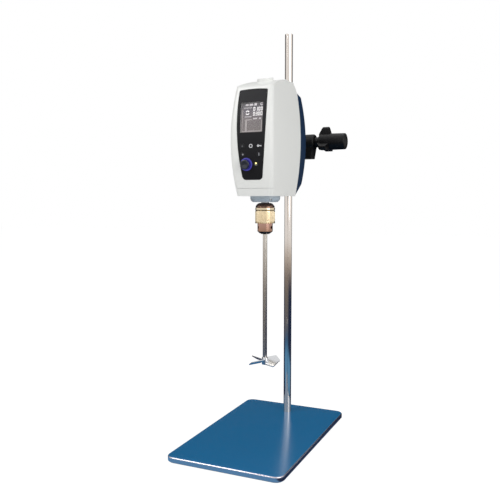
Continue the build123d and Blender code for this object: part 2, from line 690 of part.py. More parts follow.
def rear_cover():
    """Blue rear cover: a bowed shell with screw posts, vents and a pocket for the inlet and the switch."""
    outer = (rear_form(0.0, False) & barrel(REAR_STEP, HEAD_BOTTOM - REAR_STEP)).solids()[0]
    rear = [e for e in outer.edges() if e.center().Y > REAR_LOW[0] - 12 and abs(e.center().X - HEAD_X) > 20]
    outer = fillet(rear, REAR_EDGE_R)
    inner = rear_form(REAR_WALL, True) & barrel(REAR_STEP + REAR_WALL, HEAD_BOTTOM - REAR_STEP)
    cover = outer - inner
    for x, z in cover_post_places():
        cover += cylinder_between((x, BACK_PLATE_REAR, z), (x, FAR, z), COVER_POST_R) & outer
    pocket = (INLET_SIZE[0] + SWITCH_SIZE[0] + 12.0, INLET_SIZE[1] + 5.0)
    wall = extrude(inlet_plane() * Rectangle(pocket[0] + 2 * REAR_WALL, pocket[1] + 2 * REAR_WALL), -REAR_WALL)
    rim = extrude(inlet_plane() * Rectangle(pocket[0] + 2 * REAR_WALL, pocket[1] + 2 * REAR_WALL), FAR)
    cover += (wall + rim) & outer
    cover -= extrude(inlet_plane() * Rectangle(*pocket), FAR)
    cut = Pos(INLET_PLACE[0], 0) * Rectangle(INLET_CUT[0] + SLACK, INLET_CUT[1] + SLACK)
    cover -= extrude(inlet_plane() * cut, -REAR_WALL * 2)
    cut = Pos(SWITCH_X, 0) * Rectangle(SWITCH_SIZE[0] + SLACK, SWITCH_SIZE[1] + SLACK)
    cover -= extrude(inlet_plane() * cut, -REAR_WALL * 2)
    socket_front = (HEAD_X, BACK_PLATE_REAR + SOCKET_FLANGE + SLACK, ROD_Z)
    cover -= cylinder_between(socket_front, (HEAD_X, FAR, ROD_Z), SOCKET_R + SLACK)
    for index in range(VENT_COUNT):
        z = VENT_LOW_Z + index * VENT_PITCH
        slot = Pos(HEAD_X, z) * SlotOverall(VENT_WIDTH, VENT_HEIGHT)
        cover -= Pos(0, REAR_LOW[0] - 8, 0) * extrude(Plane.XZ * slot, -FAR)
    for x, z in cover_post_places():
        cover -= cylinder_between((x, 0, z), (x, FAR, z), COVER_SCREW_R + FIT)
        cover -= cylinder_between((x, COVER_SCREW_SEAT, z), (x, FAR, z), COVER_SCREW_HEAD_R + SLACK)
    return cover


def cover_post_places():
    """X and Z of the rear cover's four screws."""
    return [(HEAD_X + side * COVER_POST_X, z) for side in (-1, 1) for z in COVER_POST_Z]


def rear_cover_screws():
    """Four pan-head screws of the rear cover."""
    screws = []
    for x, z in cover_post_places():
        seat = COVER_SCREW_SEAT
        shank = cylinder_between((x, BACK_PLATE_Y + 1.0, z), (x, seat, z), COVER_SCREW_R)
        head = cylinder_between((x, seat, z), (x, seat + COVER_SCREW_HEAD, z), COVER_SCREW_HEAD_R)
        screws.append(shank + head)
    return screws


def top_cap():
    """Cap of the hollow spindle: a rounded disc, leaning with the roof, with an upright plug."""
    disc = post(HEAD_X, SPINDLE_Y, TURRET_TOP - CAP_R, FAR * 2, CAP_R) & turret_slab(0, CAP_THICK)
    disc = fillet(disc.faces().sort_by(Axis.Z)[-1].edges(), CAP_THICK / 3)
    plug = post(HEAD_X, SPINDLE_Y, TURRET_TOP - CAP_PLUG_DEPTH, FAR * 2, CAP_PLUG_R) & turret_slab(-CAP_R, CAP_THICK / 2)
    hollow = post(HEAD_X, SPINDLE_Y, TURRET_TOP - CAP_PLUG_DEPTH, TURRET_TOP - CAP_HOLLOW_DROP, CAP_PLUG_R - 2.0)
    return disc + plug - hollow


# ---------------------------------------------------------------- control panel
def front_panel():
    """Black panel plate, curved with the front face, with openings for window, keys, dial and lamp."""
    plate = skin(PANEL_PROUD, PANEL_DEPTH) & panel_prism(0.0)
    plate -= window_cut(FIT)
    for cut in key_cuts(KEY_GAP):
        plate -= cut
    plate -= through_front(Circle(RING_R + FIT), *DIAL_PLACE)
    return plate - through_front(Circle(LAMP_R + FIT), *LAMP_PLACE)


def display_window():
    """Clear window of the display, flush with the panel."""
    return skin(PANEL_PROUD, WINDOW_THICK + PANEL_DEPTH) & window_cut(-FIT)


def display_module():
    """Display behind the window, on the control board."""
    size = (WINDOW_WIDTH - 2.0, WINDOW_HEIGHT - 2.0)
    back = CONTROL_BOARD_Y - BOARD_THICK
    front = front_y(WINDOW_Z + WINDOW_HEIGHT / 2, WALL) - 0.2
    sketch = Pos(HEAD_X + PANEL_SHIFT, WINDOW_Z) * Rectangle(*size)
    return Pos(0, back, 0) * extrude(Plane.XZ * sketch, back - front)


def panel_key(place):
    """Key cap with a retaining flange behind the fascia."""
    stem = extrude(on_front(*place, KEY_PROUD) * RectangleRounded(*KEY_SIZE, KEY_CORNER_R), -(KEY_PROUD + KEY_STEM))
    stem = fillet(stem.faces().sort_by(Axis.Y)[0].edges(), 0.35)
    wide = (KEY_SIZE[0] + 2 * KEY_FLANGE, KEY_SIZE[1] + 2 * KEY_FLANGE)
    plane = on_front(*place, -KEY_STEM)
    return stem + extrude(plane * RectangleRounded(*wide, KEY_CORNER_R), -KEY_FLANGE_THICK)


def key_mat():
    """Rubber mat whose domes push the keys back, standing on the control board."""
    low = min(z for _, z in KEY_PLACES) - KEY_SIZE[1] / 2
    high = max(z for _, z in KEY_PLACES) + KEY_SIZE[1] / 2
    reach = max(x for x, _ in KEY_PLACES) + KEY_SIZE[0] / 2
    start = KEY_STEM + KEY_FLANGE_THICK + KEY_TRAVEL_ROOM
    centre = HEAD_X + PANEL_SHIFT
    sheet = skin(-start, start + MAT_SHEET)
    sheet &= block((centre - reach, -HEAD_FRONT, low), (centre + reach, CONTROL_BOARD_Y, high))
    for x, z in KEY_PLACES:
        top = front_y(z, start + MAT_SHEET / 2)
        sheet += cylinder_between((centre + x, top, z), (centre + x, CONTROL_BOARD_Y - BOARD_THICK, z), STANDOFF_R)
    return sheet


def light_ring():
    """Clear ring round the setting knob."""
    plane = on_front(*DIAL_PLACE)
    ring = extrude(Pos(0, 0, -PANEL_DEPTH) * Circle(RING_R), PANEL_DEPTH + RING_PROUD)
    ring = fillet(ring.faces().sort_by(Axis.Z)[-1].edges(), RING_PROUD * 0.6)
    ring -= extrude(Pos(0, 0, -PANEL_DEPTH) * Circle(DIAL_R + SLACK), PANEL_DEPTH + RING_PROUD)
    return plane.location * ring


def setting_knob():
    """Setting knob: a fluted cap with a shallow dish, on the encoder's shaft."""
    cap = extrude(Pos(0, 0, SLACK) * Circle(DIAL_R), DIAL_HEIGHT)
    cap = fillet(cap.faces().sort_by(Axis.Z)[-1].edges(), 1.2)
    for angle in around(DIAL_FLUTES):
        dx, dy = polar(DIAL_R + 0.35, angle)
        cap -= Pos(dx, dy, SLACK) * extrude(Circle(0.7), DIAL_HEIGHT - 1.5)
    cap -= Pos(0, 0, DIAL_HEIGHT + SLACK + 23.5) * Sphere(24.0)
    cap -= extrude(Circle(ENCODER_SHAFT_R + RUNNING), DIAL_HEIGHT - 2.0)
    return on_front(*DIAL_PLACE).location * cap


def encoder_shaft():
    """Shaft that carries the setting knob and is pushed in with it."""
    depth = WALL + 4.0
    return extrude(on_front(*DIAL_PLACE, -depth) * Circle(ENCODER_SHAFT_R), depth + DIAL_HEIGHT - 2.0 - 2 * RUNNING)


def encoder_body():
    """Encoder on the control board, bored for its shaft."""
    plane = on_front(*DIAL_PLACE, -(WALL + 1.0))
    body = extrude(plane * Rectangle(ENCODER_BODY[0], ENCODER_BODY[1]), -ENCODER_BODY[2])
    body += extrude(plane * Circle(ENCODER_SHAFT_R + 2.0), 2.0)
    body -= extrude(on_front(*DIAL_PLACE, 0.0) * Circle(ENCODER_SHAFT_R + RUNNING), -FAR / 20)
    return body


def status_lamp():
    """Small domed lamp."""
    plane = on_front(*LAMP_PLACE)
    lamp = extrude(plane * Circle(LAMP_R), -(WALL + 3.0)) + extrude(plane * Circle(LAMP_R), PANEL_PROUD)
    return lamp + plane.location * (Pos(0, 0, PANEL_PROUD) * Sphere(LAMP_R * 0.9))


def board_corners():
    """X and Z of the control board's four screws."""
    return [(HEAD_X + side * (CONTROL_BOARD[0] - 4.0), z) for side in (-1, 1)
            for z in (CONTROL_BOARD[1] + 4.0, CONTROL_BOARD[2] - 4.0)]


def control_board():
    """Board behind the panel, with its chips."""
    half, low, high = CONTROL_BOARD
    back = CONTROL_BOARD_Y
    board = block((HEAD_X - half, back - BOARD_THICK, low), (HEAD_X + half, back, high))
    for x, z in board_corners():
        board -= cylinder_between((x, back - BOARD_THICK, z), (x, back, z), SMALL_SCREW_R + FIT)
    for x, z, size in BOARD_CHIPS:
        board += block((HEAD_X + x, back, z), (HEAD_X + x + size, back + CHIP_HEIGHT, z + size))
    return board


def control_board_screws():
    """Four screws of the control board."""
    screws = []
    for x, z in board_corners():
        shank = cylinder_between((x, CONTROL_BOARD_Y - BOARD_THICK - 2.0, z), (x, CONTROL_BOARD_Y, z), SMALL_SCREW_R)
        head = cylinder_between((x, CONTROL_BOARD_Y, z), (x, CONTROL_BOARD_Y + 1.8, z), SMALL_SCREW_R * 1.8)
        screws.append(shank + head)
    return screws


# ---------------------------------------------------------------- drive inside the head
def drive_frame():
    """Cast frame: bearing tube, motor shelf and back plate, stiffened by ribs."""
    tube_low = HEAD_BOTTOM + WALL
    tube = post(HEAD_X, SPINDLE_Y, tube_low, SHELF_TOP_Z, TUBE_R)
    tube += post(HEAD_X, SPINDLE_Y, tube_low, tube_low + TUBE_FLANGE_THICK, TUBE_FLANGE_R)
    shelf = block((HEAD_X - SHELF_HALF, SPINDLE_Y, SHELF_TOP_Z - SHELF_THICK),
                  (HEAD_X + SHELF_HALF, BACK_PLATE_Y + 1.0, SHELF_TOP_Z))
    back = block((HEAD_X - BACK_PLATE_HALF, BACK_PLATE_Y, BACK_PLATE_LOW),
                 (HEAD_X + BACK_PLATE_HALF, BACK_PLATE_REAR, BACK_PLATE_HIGH))
    frame = tube + shelf + back
    rib = Polyline((BACK_PLATE_Y - RIB_DROP, SHELF_TOP_Z), (BACK_PLATE_Y, SHELF_TOP_Z),
                   (BACK_PLATE_Y, SHELF_TOP_Z + RIB_DROP), close=True)
    for side in (-1, 1):
        middle = HEAD_X + side * (BACK_PLATE_HALF - RIB_THICK / 2)
        frame += Pos(middle, 0, 0) * extrude(Plane.YZ * make_face(rib), RIB_THICK / 2, both=True)
    frame -= post(HEAD_X, SPINDLE_Y, tube_low, SHELF_TOP_Z, SPINDLE_MIDDLE_R + 3.0)
    for low in (LOWER_BEARING_Z, UPPER_BEARING_Z):
        frame -= post(HEAD_X, SPINDLE_Y, low, low + BEARING_WIDTH, BEARING_OUTER_R + FIT)
    frame -= post(HEAD_X, SPINDLE_Y, tube_low, LOWER_BEARING_Z, BEARING_OUTER_R + FIT)
    frame -= post(HEAD_X, SPINDLE_Y, UPPER_BEARING_Z, SHELF_TOP_Z, BEARING_OUTER_R + FIT)
    frame -= post(HEAD_X, MOTOR_Y, MOTOR_TOP, SHELF_TOP_Z, MOTOR_PILOT_R + FIT)
    for angle in around(4, 45.0):
        dx, dy = polar(MOTOR_SCREW_CIRCLE_R, angle)
        frame -= post(HEAD_X + dx, MOTOR_Y + dy, MOTOR_TOP, SHELF_TOP_Z, SMALL_SCREW_R + FIT)
        dx, dy = polar(TUBE_FLANGE_R - 3.0, angle)
        frame -= post(HEAD_X + dx, SPINDLE_Y + dy, tube_low, tube_low + TUBE_FLANGE_THICK, SMALL_SCREW_R + FIT)
        dx, dz = polar(SOCKET_SCREW_CIRCLE_R, angle)
        frame -= cylinder_between((HEAD_X + dx, BACK_PLATE_Y, ROD_Z + dz),
                                  (HEAD_X + dx, BACK_PLATE_REAR, ROD_Z + dz), SOCKET_SCREW_R + FIT)
    for x, z in cover_post_places():
        frame -= cylinder_between((x, BACK_PLATE_Y, z), (x, BACK_PLATE_REAR, z), COVER_SCREW_R + FIT)
    return frame


def bearing_rings(inner, outer):
    """Two bearing rings with a ball groove each, between two radii."""
    rings = []
    for low in (LOWER_BEARING_Z, UPPER_BEARING_Z):
        ring = post(HEAD_X, SPINDLE_Y, low, low + BEARING_WIDTH, outer)
        ring -= post(HEAD_X, SPINDLE_Y, low, low + BEARING_WIDTH, inner)
        middle = upright(HEAD_X, SPINDLE_Y, low + BEARING_WIDTH / 2)
        rings.append(ring - middle.location * Torus(BEARING_PITCH_R, BALL_R + RACE_CLEARANCE))
    return rings


def bearing_balls():
    """Balls of both bearings."""
    balls = []
    for low in (LOWER_BEARING_Z, UPPER_BEARING_Z):
        for angle in around(BALL_COUNT):
            dx, dy = polar(BEARING_PITCH_R, angle)
            balls.append(Pos(HEAD_X + dx, SPINDLE_Y + dy, low + BEARING_WIDTH / 2) * Sphere(BALL_R))
    return balls


def spindle():
    """Hollow spindle, stepped for its bearings, the pulley and the chuck."""
    low = CHUCK_TOP - CHUCK_SOCKET_DEPTH + FIT
    high = TURRET_TOP - CAP_PLUG_DEPTH - SPINDLE_TOP_GAP
    lower = LOWER_BEARING_Z
    inner_low = LOWER_BEARING_Z + BEARING_WIDTH
    inner_high = UPPER_BEARING_Z
    upper = UPPER_BEARING_Z + BEARING_WIDTH
    outline = [
        (SPINDLE_BORE_R, low), (SPINDLE_NOSE_R, low), (SPINDLE_NOSE_R, lower - 2.0),
        (SPINDLE_BEARING_R, lower - 2.0), (SPINDLE_BEARING_R, inner_low), (SPINDLE_MIDDLE_R, inner_low),
        (SPINDLE_MIDDLE_R, inner_high), (SPINDLE_BEARING_R, inner_high), (SPINDLE_BEARING_R, upper + 1.0),
        (SPINDLE_TOP_R, upper + 1.0), (SPINDLE_TOP_R, high), (SPINDLE_BORE_R, high),
    ]
    return turned(outline, upright(HEAD_X, SPINDLE_Y))


def toothed_pulley(teeth, bore, y):
    """Toothed belt pulley with two flanges."""
    pitch_r = teeth * TOOTH_PITCH / (2 * math.pi)
    rim = upright(HEAD_X, y, PULLEY_Z)
    wheel = extrude(Circle(pitch_r), PULLEY_WIDTH + 2 * PULLEY_FLANGE)
    for angle in around(teeth):
        dx, dy = polar(pitch_r, angle)
        wheel -= Pos(dx, dy, PULLEY_FLANGE) * extrude(Circle(TOOTH_DEPTH * 0.8), PULLEY_WIDTH)
    for low in (0.0, PULLEY_WIDTH + PULLEY_FLANGE):
        wheel += extrude(Pos(0, 0, low) * Circle(pitch_r + BELT_THICK), PULLEY_FLANGE)
    wheel -= extrude(Circle(bore + FIT), PULLEY_WIDTH + 2 * PULLEY_FLANGE)
    return rim.location * wheel


def belt_face(offset):
    """Outline of a belt round both pulleys, at an offset outside their pitch circles."""
    big = SPINDLE_PULLEY_R + offset
    small = MOTOR_PULLEY_R + offset
    turn = math.acos((big - small) / (MOTOR_Y - SPINDLE_Y))
    side = math.sin(turn)
    ahead = math.cos(turn)
    corners = [
        (big * side, SPINDLE_Y + big * ahead), (small * side, MOTOR_Y + small * ahead),
        (-small * side, MOTOR_Y + small * ahead), (-big * side, SPINDLE_Y + big * ahead),
    ]
    face = make_face(Polyline(*corners, close=True))
    return Pos(HEAD_X, 0) * (face + Pos(0, SPINDLE_Y) * Circle(big) + Pos(0, MOTOR_Y) * Circle(small))


def drive_belt():
    """Toothed belt, drawn as a plain band that clears the pulleys' teeth."""
    low = PULLEY_Z + PULLEY_FLANGE + (PULLEY_WIDTH - BELT_WIDTH) / 2
    band = belt_face(BELT_GAP + BELT_THICK) - belt_face(BELT_GAP)
    return extrude(Pos(0, 0, low) * band, BELT_WIDTH)


def motor_body():
    """Brushless motor: a hollow can with end walls and a pilot, hung under the shelf."""
    can = post(HEAD_X, MOTOR_Y, MOTOR_BOTTOM, MOTOR_TOP, MOTOR_R)
    can = fillet(can.edges(), 1.5)
    can += post(HEAD_X, MOTOR_Y, MOTOR_TOP - 1.0, MOTOR_TOP + MOTOR_PILOT, MOTOR_PILOT_R)
    can -= post(HEAD_X, MOTOR_Y, MOTOR_BOTTOM + MOTOR_END, MOTOR_TOP - MOTOR_END, MOTOR_R - MOTOR_WALL)
    can -= post(HEAD_X, MOTOR_Y, MOTOR_BOTTOM, MOTOR_TOP + MOTOR_PILOT, MOTOR_SHAFT_R + RUNNING)
    for angle in around(4, 45.0):
        dx, dy = polar(MOTOR_SCREW_CIRCLE_R, angle)
        can -= post(HEAD_X + dx, MOTOR_Y + dy, MOTOR_TOP - MOTOR_END, MOTOR_TOP, SMALL_SCREW_R + FIT)
    return can


def motor_rotor():
    """Magnet rotor on the motor's shaft."""
    middle = (MOTOR_BOTTOM + MOTOR_TOP) / 2
    shaft = post(HEAD_X, MOTOR_Y, MOTOR_BOTTOM, PULLEY_Z + PULLEY_WIDTH + 2 * PULLEY_FLANGE, MOTOR_SHAFT_R)
    return shaft + post(HEAD_X, MOTOR_Y, middle - ROTOR_LENGTH / 2, middle + ROTOR_LENGTH / 2, ROTOR_R)


def motor_screws():
    """Four cap screws that hold the motor to the shelf."""
    screws = []
    for angle in around(4, 45.0):
        dx, dy = polar(MOTOR_SCREW_CIRCLE_R, angle)
        shank = post(HEAD_X + dx, MOTOR_Y + dy, MOTOR_TOP - MOTOR_END + SLACK, SHELF_TOP_Z, SMALL_SCREW_R)
        head = post(HEAD_X + dx, MOTOR_Y + dy, SHELF_TOP_Z, SHELF_TOP_Z + 2.5, SMALL_SCREW_R * 1.8)
        screws.append(shank + head)
    return screws


def shaft_seal():
    """Lip seal under the lower bearing."""
    low = LOWER_BEARING_Z - SEAL_THICK
    ring = post(HEAD_X, SPINDLE_Y, low, LOWER_BEARING_Z - SLACK, BEARING_OUTER_R - RUNNING)
    return ring - post(HEAD_X, SPINDLE_Y, low, LOWER_BEARING_Z, SPINDLE_BEARING_R + 2 * RUNNING)


def spindle_collar():
    """Rounded collar under the head, round the spindle."""
    outline = Curve() + [
        Line((COLLAR_BORE_R, HEAD_BOTTOM), (COLLAR_TOP_R, HEAD_BOTTOM)),
        Line((COLLAR_TOP_R, HEAD_BOTTOM), (COLLAR_TOP_R, HEAD_BOTTOM - 2.0)),
        ThreePointArc((COLLAR_TOP_R, HEAD_BOTTOM - 2.0), (COLLAR_BOTTOM_R + 3.8, COLLAR_BOTTOM + 3.0),
                      (COLLAR_BOTTOM_R, COLLAR_BOTTOM)),
        Line((COLLAR_BOTTOM_R, COLLAR_BOTTOM), (COLLAR_BORE_R, COLLAR_BOTTOM)),
        Line((COLLAR_BORE_R, COLLAR_BOTTOM), (COLLAR_BORE_R, HEAD_BOTTOM)),
    ]
    collar = upright(HEAD_X, SPINDLE_Y).location * revolve(Plane.XZ * make_face(outline), Axis.Z)
    for angle in around(4, 45.0):
        dx, dy = polar(TUBE_FLANGE_R - 3.0, angle)
        x, y = HEAD_X + dx, SPINDLE_Y + dy
        collar -= post(x, y, COLLAR_BOTTOM, HEAD_BOTTOM, SMALL_SCREW_R + FIT)
        collar -= post(x, y, COLLAR_BOTTOM, COLLAR_BOTTOM + 6.0, SMALL_SCREW_R * 2)
    return collar


def collar_screws():
    """Four screws from the collar into the bearing tube's flange."""
    screws = []
    for angle in around(4, 45.0):
        dx, dy = polar(TUBE_FLANGE_R - 3.0, angle)
        x, y = HEAD_X + dx, SPINDLE_Y + dy
        shank = post(x, y, COLLAR_BOTTOM + 6.0, HEAD_BOTTOM + WALL + TUBE_FLANGE_THICK, SMALL_SCREW_R)
        screws.append(shank + post(x, y, COLLAR_BOTTOM + 3.6, COLLAR_BOTTOM + 6.0, SMALL_SCREW_R * 1.8))
    return screws


def rod_socket():
    """Flanged socket that takes the support rod, on the back plate."""
    front = BACK_PLATE_REAR
    body = cylinder_between((HEAD_X, front, ROD_Z), (HEAD_X, SOCKET_REAR, ROD_Z), SOCKET_R)
    body += cylinder_between((HEAD_X, front, ROD_Z), (HEAD_X, front + SOCKET_FLANGE, ROD_Z), SOCKET_FLANGE_R)
    body -= cylinder_between((HEAD_X, front + ROD_SEAT - 2 * FIT, ROD_Z), (HEAD_X, SOCKET_REAR, ROD_Z),
                             ROD_R + RUNNING)
    for angle in around(4, 45.0):
        dx, dz = polar(SOCKET_SCREW_CIRCLE_R, angle)
        body -= cylinder_between((HEAD_X + dx, front, ROD_Z + dz), (HEAD_X + dx, front + SOCKET_FLANGE, ROD_Z + dz),
                                 SOCKET_SCREW_R + FIT)
    y = SOCKET_REAR - SOCKET_OUT / 2 - SET_SCREW_R
    return body - post(HEAD_X, y, ROD_Z, ROD_Z + SOCKET_R, SET_SCREW_R + FIT)


def socket_screws():
    """Four screws of the rod socket."""
    screws = []
    for angle in around(4, 45.0):
        dx, dz = polar(SOCKET_SCREW_CIRCLE_R, angle)
        seat = BACK_PLATE_REAR + SOCKET_FLANGE
        x, z = HEAD_X + dx, ROD_Z + dz
        shank = cylinder_between((x, BACK_PLATE_Y, z), (x, seat, z), SOCKET_SCREW_R)
        screws.append(shank + cylinder_between((x, seat, z), (x, seat + 2.0, z), SOCKET_SCREW_R * 1.7))
    return screws


def rod_set_screw():
    """Grub screw that holds the rod in its socket."""
    y = SOCKET_REAR - SOCKET_OUT / 2 - SET_SCREW_R
    low = ROD_Z + ROD_R + 2 * RUNNING
    screw = post(HEAD_X, y, low, ROD_Z + SOCKET_R - 1.0, SET_SCREW_R)
    return screw - extrude(Pos(HEAD_X, y, ROD_Z + SOCKET_R - 3.5) * RegularPolygon(SET_SCREW_R * 0.5, 6), 2.5)


def power_board_corners():
    """X and Y of the power board's four pillars."""
    half, front, back = POWER_BOARD
    return [(HEAD_X + side * (half - 4.0), y) for side in (-1, 1) for y in (front + 4.0, back - 4.0)]


def power_board():
    """Power board on the housing's floor, with its capacitors and transformer."""
    half, front, back = POWER_BOARD
    board = block((HEAD_X - half, front, POWER_BOARD_Z), (HEAD_X + half, back, POWER_BOARD_Z + BOARD_THICK))
    top = POWER_BOARD_Z + BOARD_THICK
    left, right, near, far = TRANSFORMER
    board += block((HEAD_X + left, front + near, top), (HEAD_X + right, front + far, top + TRANSFORMER_HEIGHT))
    for y in CAPACITOR_Y:
        board += post(HEAD_X + CAPACITOR_X, front + y, top, top + CAPACITOR_HEIGHT, CAPACITOR_R)
    return board


def power_inlet():
    """Appliance inlet with its flange, well and three blades."""
    plane = inlet_plane()
    place = Pos(INLET_PLACE[0], INLET_PLACE[1])
    body = extrude(plane * (place * RectangleRounded(*INLET_SIZE, 2.0)), INLET_FLANGE)
    body += extrude(plane * (place * Rectangle(INLET_CUT[0], INLET_CUT[1])), -INLET_DEPTH)
    well = place * RectangleRounded(INLET_CUT[0] - 4.0, INLET_CUT[1] - 4.6, 1.0)
    body -= extrude(plane.offset(INLET_FLANGE) * well, -(INLET_DEPTH + INLET_FLANGE - INLET_FLOOR))
    for x, y in ((-7.0, -1.5), (0.0, 2.5), (7.0, -1.5)):
        blade = Pos(INLET_PLACE[0] + x, INLET_PLACE[1] + y) * Rectangle(2.0, 4.0)
        body += extrude(plane.offset(-INLET_DEPTH) * blade, INLET_DEPTH - BLADE_SINK)
    return body


def switch_frame():
    """Bezel of the power switch."""
    plane = inlet_plane()
    frame = extrude(plane * (Pos(SWITCH_X, 0) * RectangleRounded(SWITCH_SIZE[0] + 2.4, SWITCH_SIZE[1] + 2.4, 1.2)), 1.4)
    frame += extrude(plane * (Pos(SWITCH_X, 0) * Rectangle(*SWITCH_SIZE)), -INLET_DEPTH)
    inner = (SWITCH_SIZE[0] - 2 * SWITCH_FRAME, SWITCH_SIZE[1] - 2 * SWITCH_FRAME)
    frame -= extrude(plane.offset(1.4) * (Pos(SWITCH_X, 0) * Rectangle(*inner)), -(1.4 + INLET_DEPTH - 2.0))
    return frame - rocker_pin(SWITCH_PIN_R + RUNNING, SWITCH_PIN_GRIP + 2 * RUNNING)


def switch_rocker():
    """Rocker of the power switch, at rest in its off position."""
    half = SWITCH_SIZE[1] / 2 - SWITCH_FRAME - 0.5
    width = SWITCH_SIZE[0] - 2 * SWITCH_FRAME - 2 * SLACK
    side = Polyline((-half, 1.2), (-half, 3.4), (0, 1.8), (half, 3.4), (half, 1.2), (2.6, -4.0), (-2.6, -4.0),
                    close=True)
    rocker = extrude(Plane.YZ * make_face(side), width / 2, both=True)
    rocker = Rot(SWITCH_TILT, 0, 0) * rocker
    rocker = Plane(origin=rocker_axis(), x_dir=(1, 0, 0), z_dir=(0, 1, 0)).location * rocker
    return rocker + rocker_pin(SWITCH_PIN_R, SWITCH_PIN_GRIP)


def rocker_pin(radius, grip):
    """Pin through the rocker that reaches a little way into both walls of the bezel."""
    x, y, z = rocker_axis()
    reach = SWITCH_SIZE[0] / 2 - SWITCH_FRAME + grip
    return cylinder_between((x - reach, y, z), (x + reach, y, z), radius)


def rocker_axis():
    """Point on the rocker's pivot."""
    return (HEAD_X - SWITCH_X, POCKET_Y, INLET_Z)


# ---------------------------------------------------------------- chuck and stirring tool
def jaw_plane(angle):
    """Plane at the tip of a jaw's axis, z leaning outwards along the jaw and x pointing out of the chuck."""
    out = Vector(*polar(1.0, angle), 0)
    lean = math.radians(JAW_LEAN)
    origin = Vector(HEAD_X, SPINDLE_Y, JAW_BOTTOM) + out * JAW_TIP_R
    along = out * math.sin(lean) + Vector(0, 0, math.cos(lean))
    across = out * math.cos(lean) - Vector(0, 0, math.sin(lean))
    return Plane(origin=origin, x_dir=across, z_dir=along)


def jaw_angles():
    """Angles of the jaws, half way between the key holes."""
    return around(JAW_COUNT, KEY_HOLE_ANGLE + 180.0 / JAW_COUNT)


def chuck_jaw(angle):
    """Jaw: a leaning round bar with a flat face that grips the shaft."""
    bar = extrude(jaw_plane(angle) * Pos(0, 0, -2.0) * Circle(JAW_R), JAW_LENGTH + 2.0)
    keep = block((SHAFT_R + SHAFT_GRIP, -FAR, JAW_BOTTOM), (FAR, FAR, FAR * 2))
    return bar & (Pos(HEAD_X, SPINDLE_Y, 0) * (Rot(0, 0, angle) * keep))


def chuck_body():
    """Chuck body: crown and core inside the sleeve, nose with key holes, and the leaning jaw bores."""
    core_top = SLEEVE_TOP
    outline = Curve() + [
        Line((0, CHUCK_TOP), (CHUCK_CROWN_R, CHUCK_TOP)),
        ThreePointArc((CHUCK_CROWN_R, CHUCK_TOP), (CHUCK_SHOULDER_R - 2.4, CHUCK_TOP - 3.0),
                      (CHUCK_SHOULDER_R, core_top + SLACK)),
        Line((CHUCK_SHOULDER_R, core_top + SLACK), (CHUCK_CORE_R, core_top + SLACK)),
        Line((CHUCK_CORE_R, core_top + SLACK), (CHUCK_CORE_R, NUT_BOTTOM + NUT_HEIGHT)),
        Line((CHUCK_CORE_R, NUT_BOTTOM + NUT_HEIGHT), (CHUCK_TIP_R, NUT_BOTTOM + NUT_HEIGHT)),
        Line((CHUCK_TIP_R, NUT_BOTTOM + NUT_HEIGHT), (CHUCK_TIP_R, NUT_BOTTOM)),
        Line((CHUCK_TIP_R, NUT_BOTTOM), (CHUCK_NOSE_R, NUT_BOTTOM)),
        Line((CHUCK_NOSE_R, NUT_BOTTOM), (CHUCK_NOSE_R, NOSE_BOTTOM)),
        Line((CHUCK_NOSE_R, NOSE_BOTTOM), (CHUCK_TIP_R, TIP_BOTTOM)),
        Line((CHUCK_TIP_R, TIP_BOTTOM), (0, TIP_BOTTOM)),
        Line((0, TIP_BOTTOM), (0, CHUCK_TOP)),
    ]
    body = upright(HEAD_X, SPINDLE_Y).location * revolve(Plane.XZ * make_face(outline), Axis.Z)
    body -= post(HEAD_X, SPINDLE_Y, TIP_BOTTOM, CHUCK_TOP, SPINDLE_BORE_R)
    body -= post(HEAD_X, SPINDLE_Y, CHUCK_TOP - CHUCK_SOCKET_DEPTH, CHUCK_TOP, SPINDLE_NOSE_R + FIT)
    for angle in jaw_angles():
        body -= extrude(jaw_plane(angle) * Pos(0, 0, -5.0) * Circle(JAW_R + CHUCK_RUNNING),
                        JAW_LENGTH + JAW_TRAVEL + 6.0)
    for angle in around(JAW_COUNT, KEY_HOLE_ANGLE):
        out = polar(1.0, angle)
        z = (SLEEVE_BOTTOM + NOSE_BOTTOM) / 2
        start = (HEAD_X + out[0] * (CHUCK_NOSE_R - KEY_HOLE_DEPTH), SPINDLE_Y + out[1] * (CHUCK_NOSE_R - KEY_HOLE_DEPTH), z)
        end = (HEAD_X + out[0] * CHUCK_NOSE_R * 1.2, SPINDLE_Y + out[1] * CHUCK_NOSE_R * 1.2, z)
        body -= cylinder_between(start, end, KEY_HOLE_R)
    return body


def chuck_sleeve():
    """Knurled sleeve with a groove near its top and a ring of key teeth at its foot."""
    groove = SLEEVE_TOP - SLEEVE_GROOVE_DROP
    outline = [
        (SLEEVE_BORE_R, SLEEVE_BOTTOM), (SLEEVE_R, SLEEVE_BOTTOM),
        (SLEEVE_R, groove - 1.0), (SLEEVE_R - SLEEVE_GROOVE_DEPTH, groove), (SLEEVE_R, groove + 1.0),
        (SLEEVE_R, SLEEVE_TOP - 1.0), (SLEEVE_R - 1.0, SLEEVE_TOP), (SLEEVE_BORE_R, SLEEVE_TOP),
    ]
    sleeve = turned(outline, Plane.XY)
    flute_low = SLEEVE_BOTTOM + KEY_TOOTH_HEIGHT + 1.0
    flute = extrude(Pos(0, 0, flute_low) * Circle(0.75), groove - 2.5 - flute_low)
    for angle in around(SLEEVE_FLUTES):
        dx, dy = polar(SLEEVE_R + 0.75 - FLUTE_DEPTH, angle)
        sleeve -= Pos(dx, dy, 0) * flute
    notch = Pos(SLEEVE_R, 0, SLEEVE_BOTTOM) * Box(5.6, 1.7, 2 * KEY_TOOTH_HEIGHT)
    for angle in around(KEY_TEETH):
        sleeve -= Rot(0, 0, angle) * notch
    return Pos(HEAD_X, SPINDLE_Y, 0) * sleeve


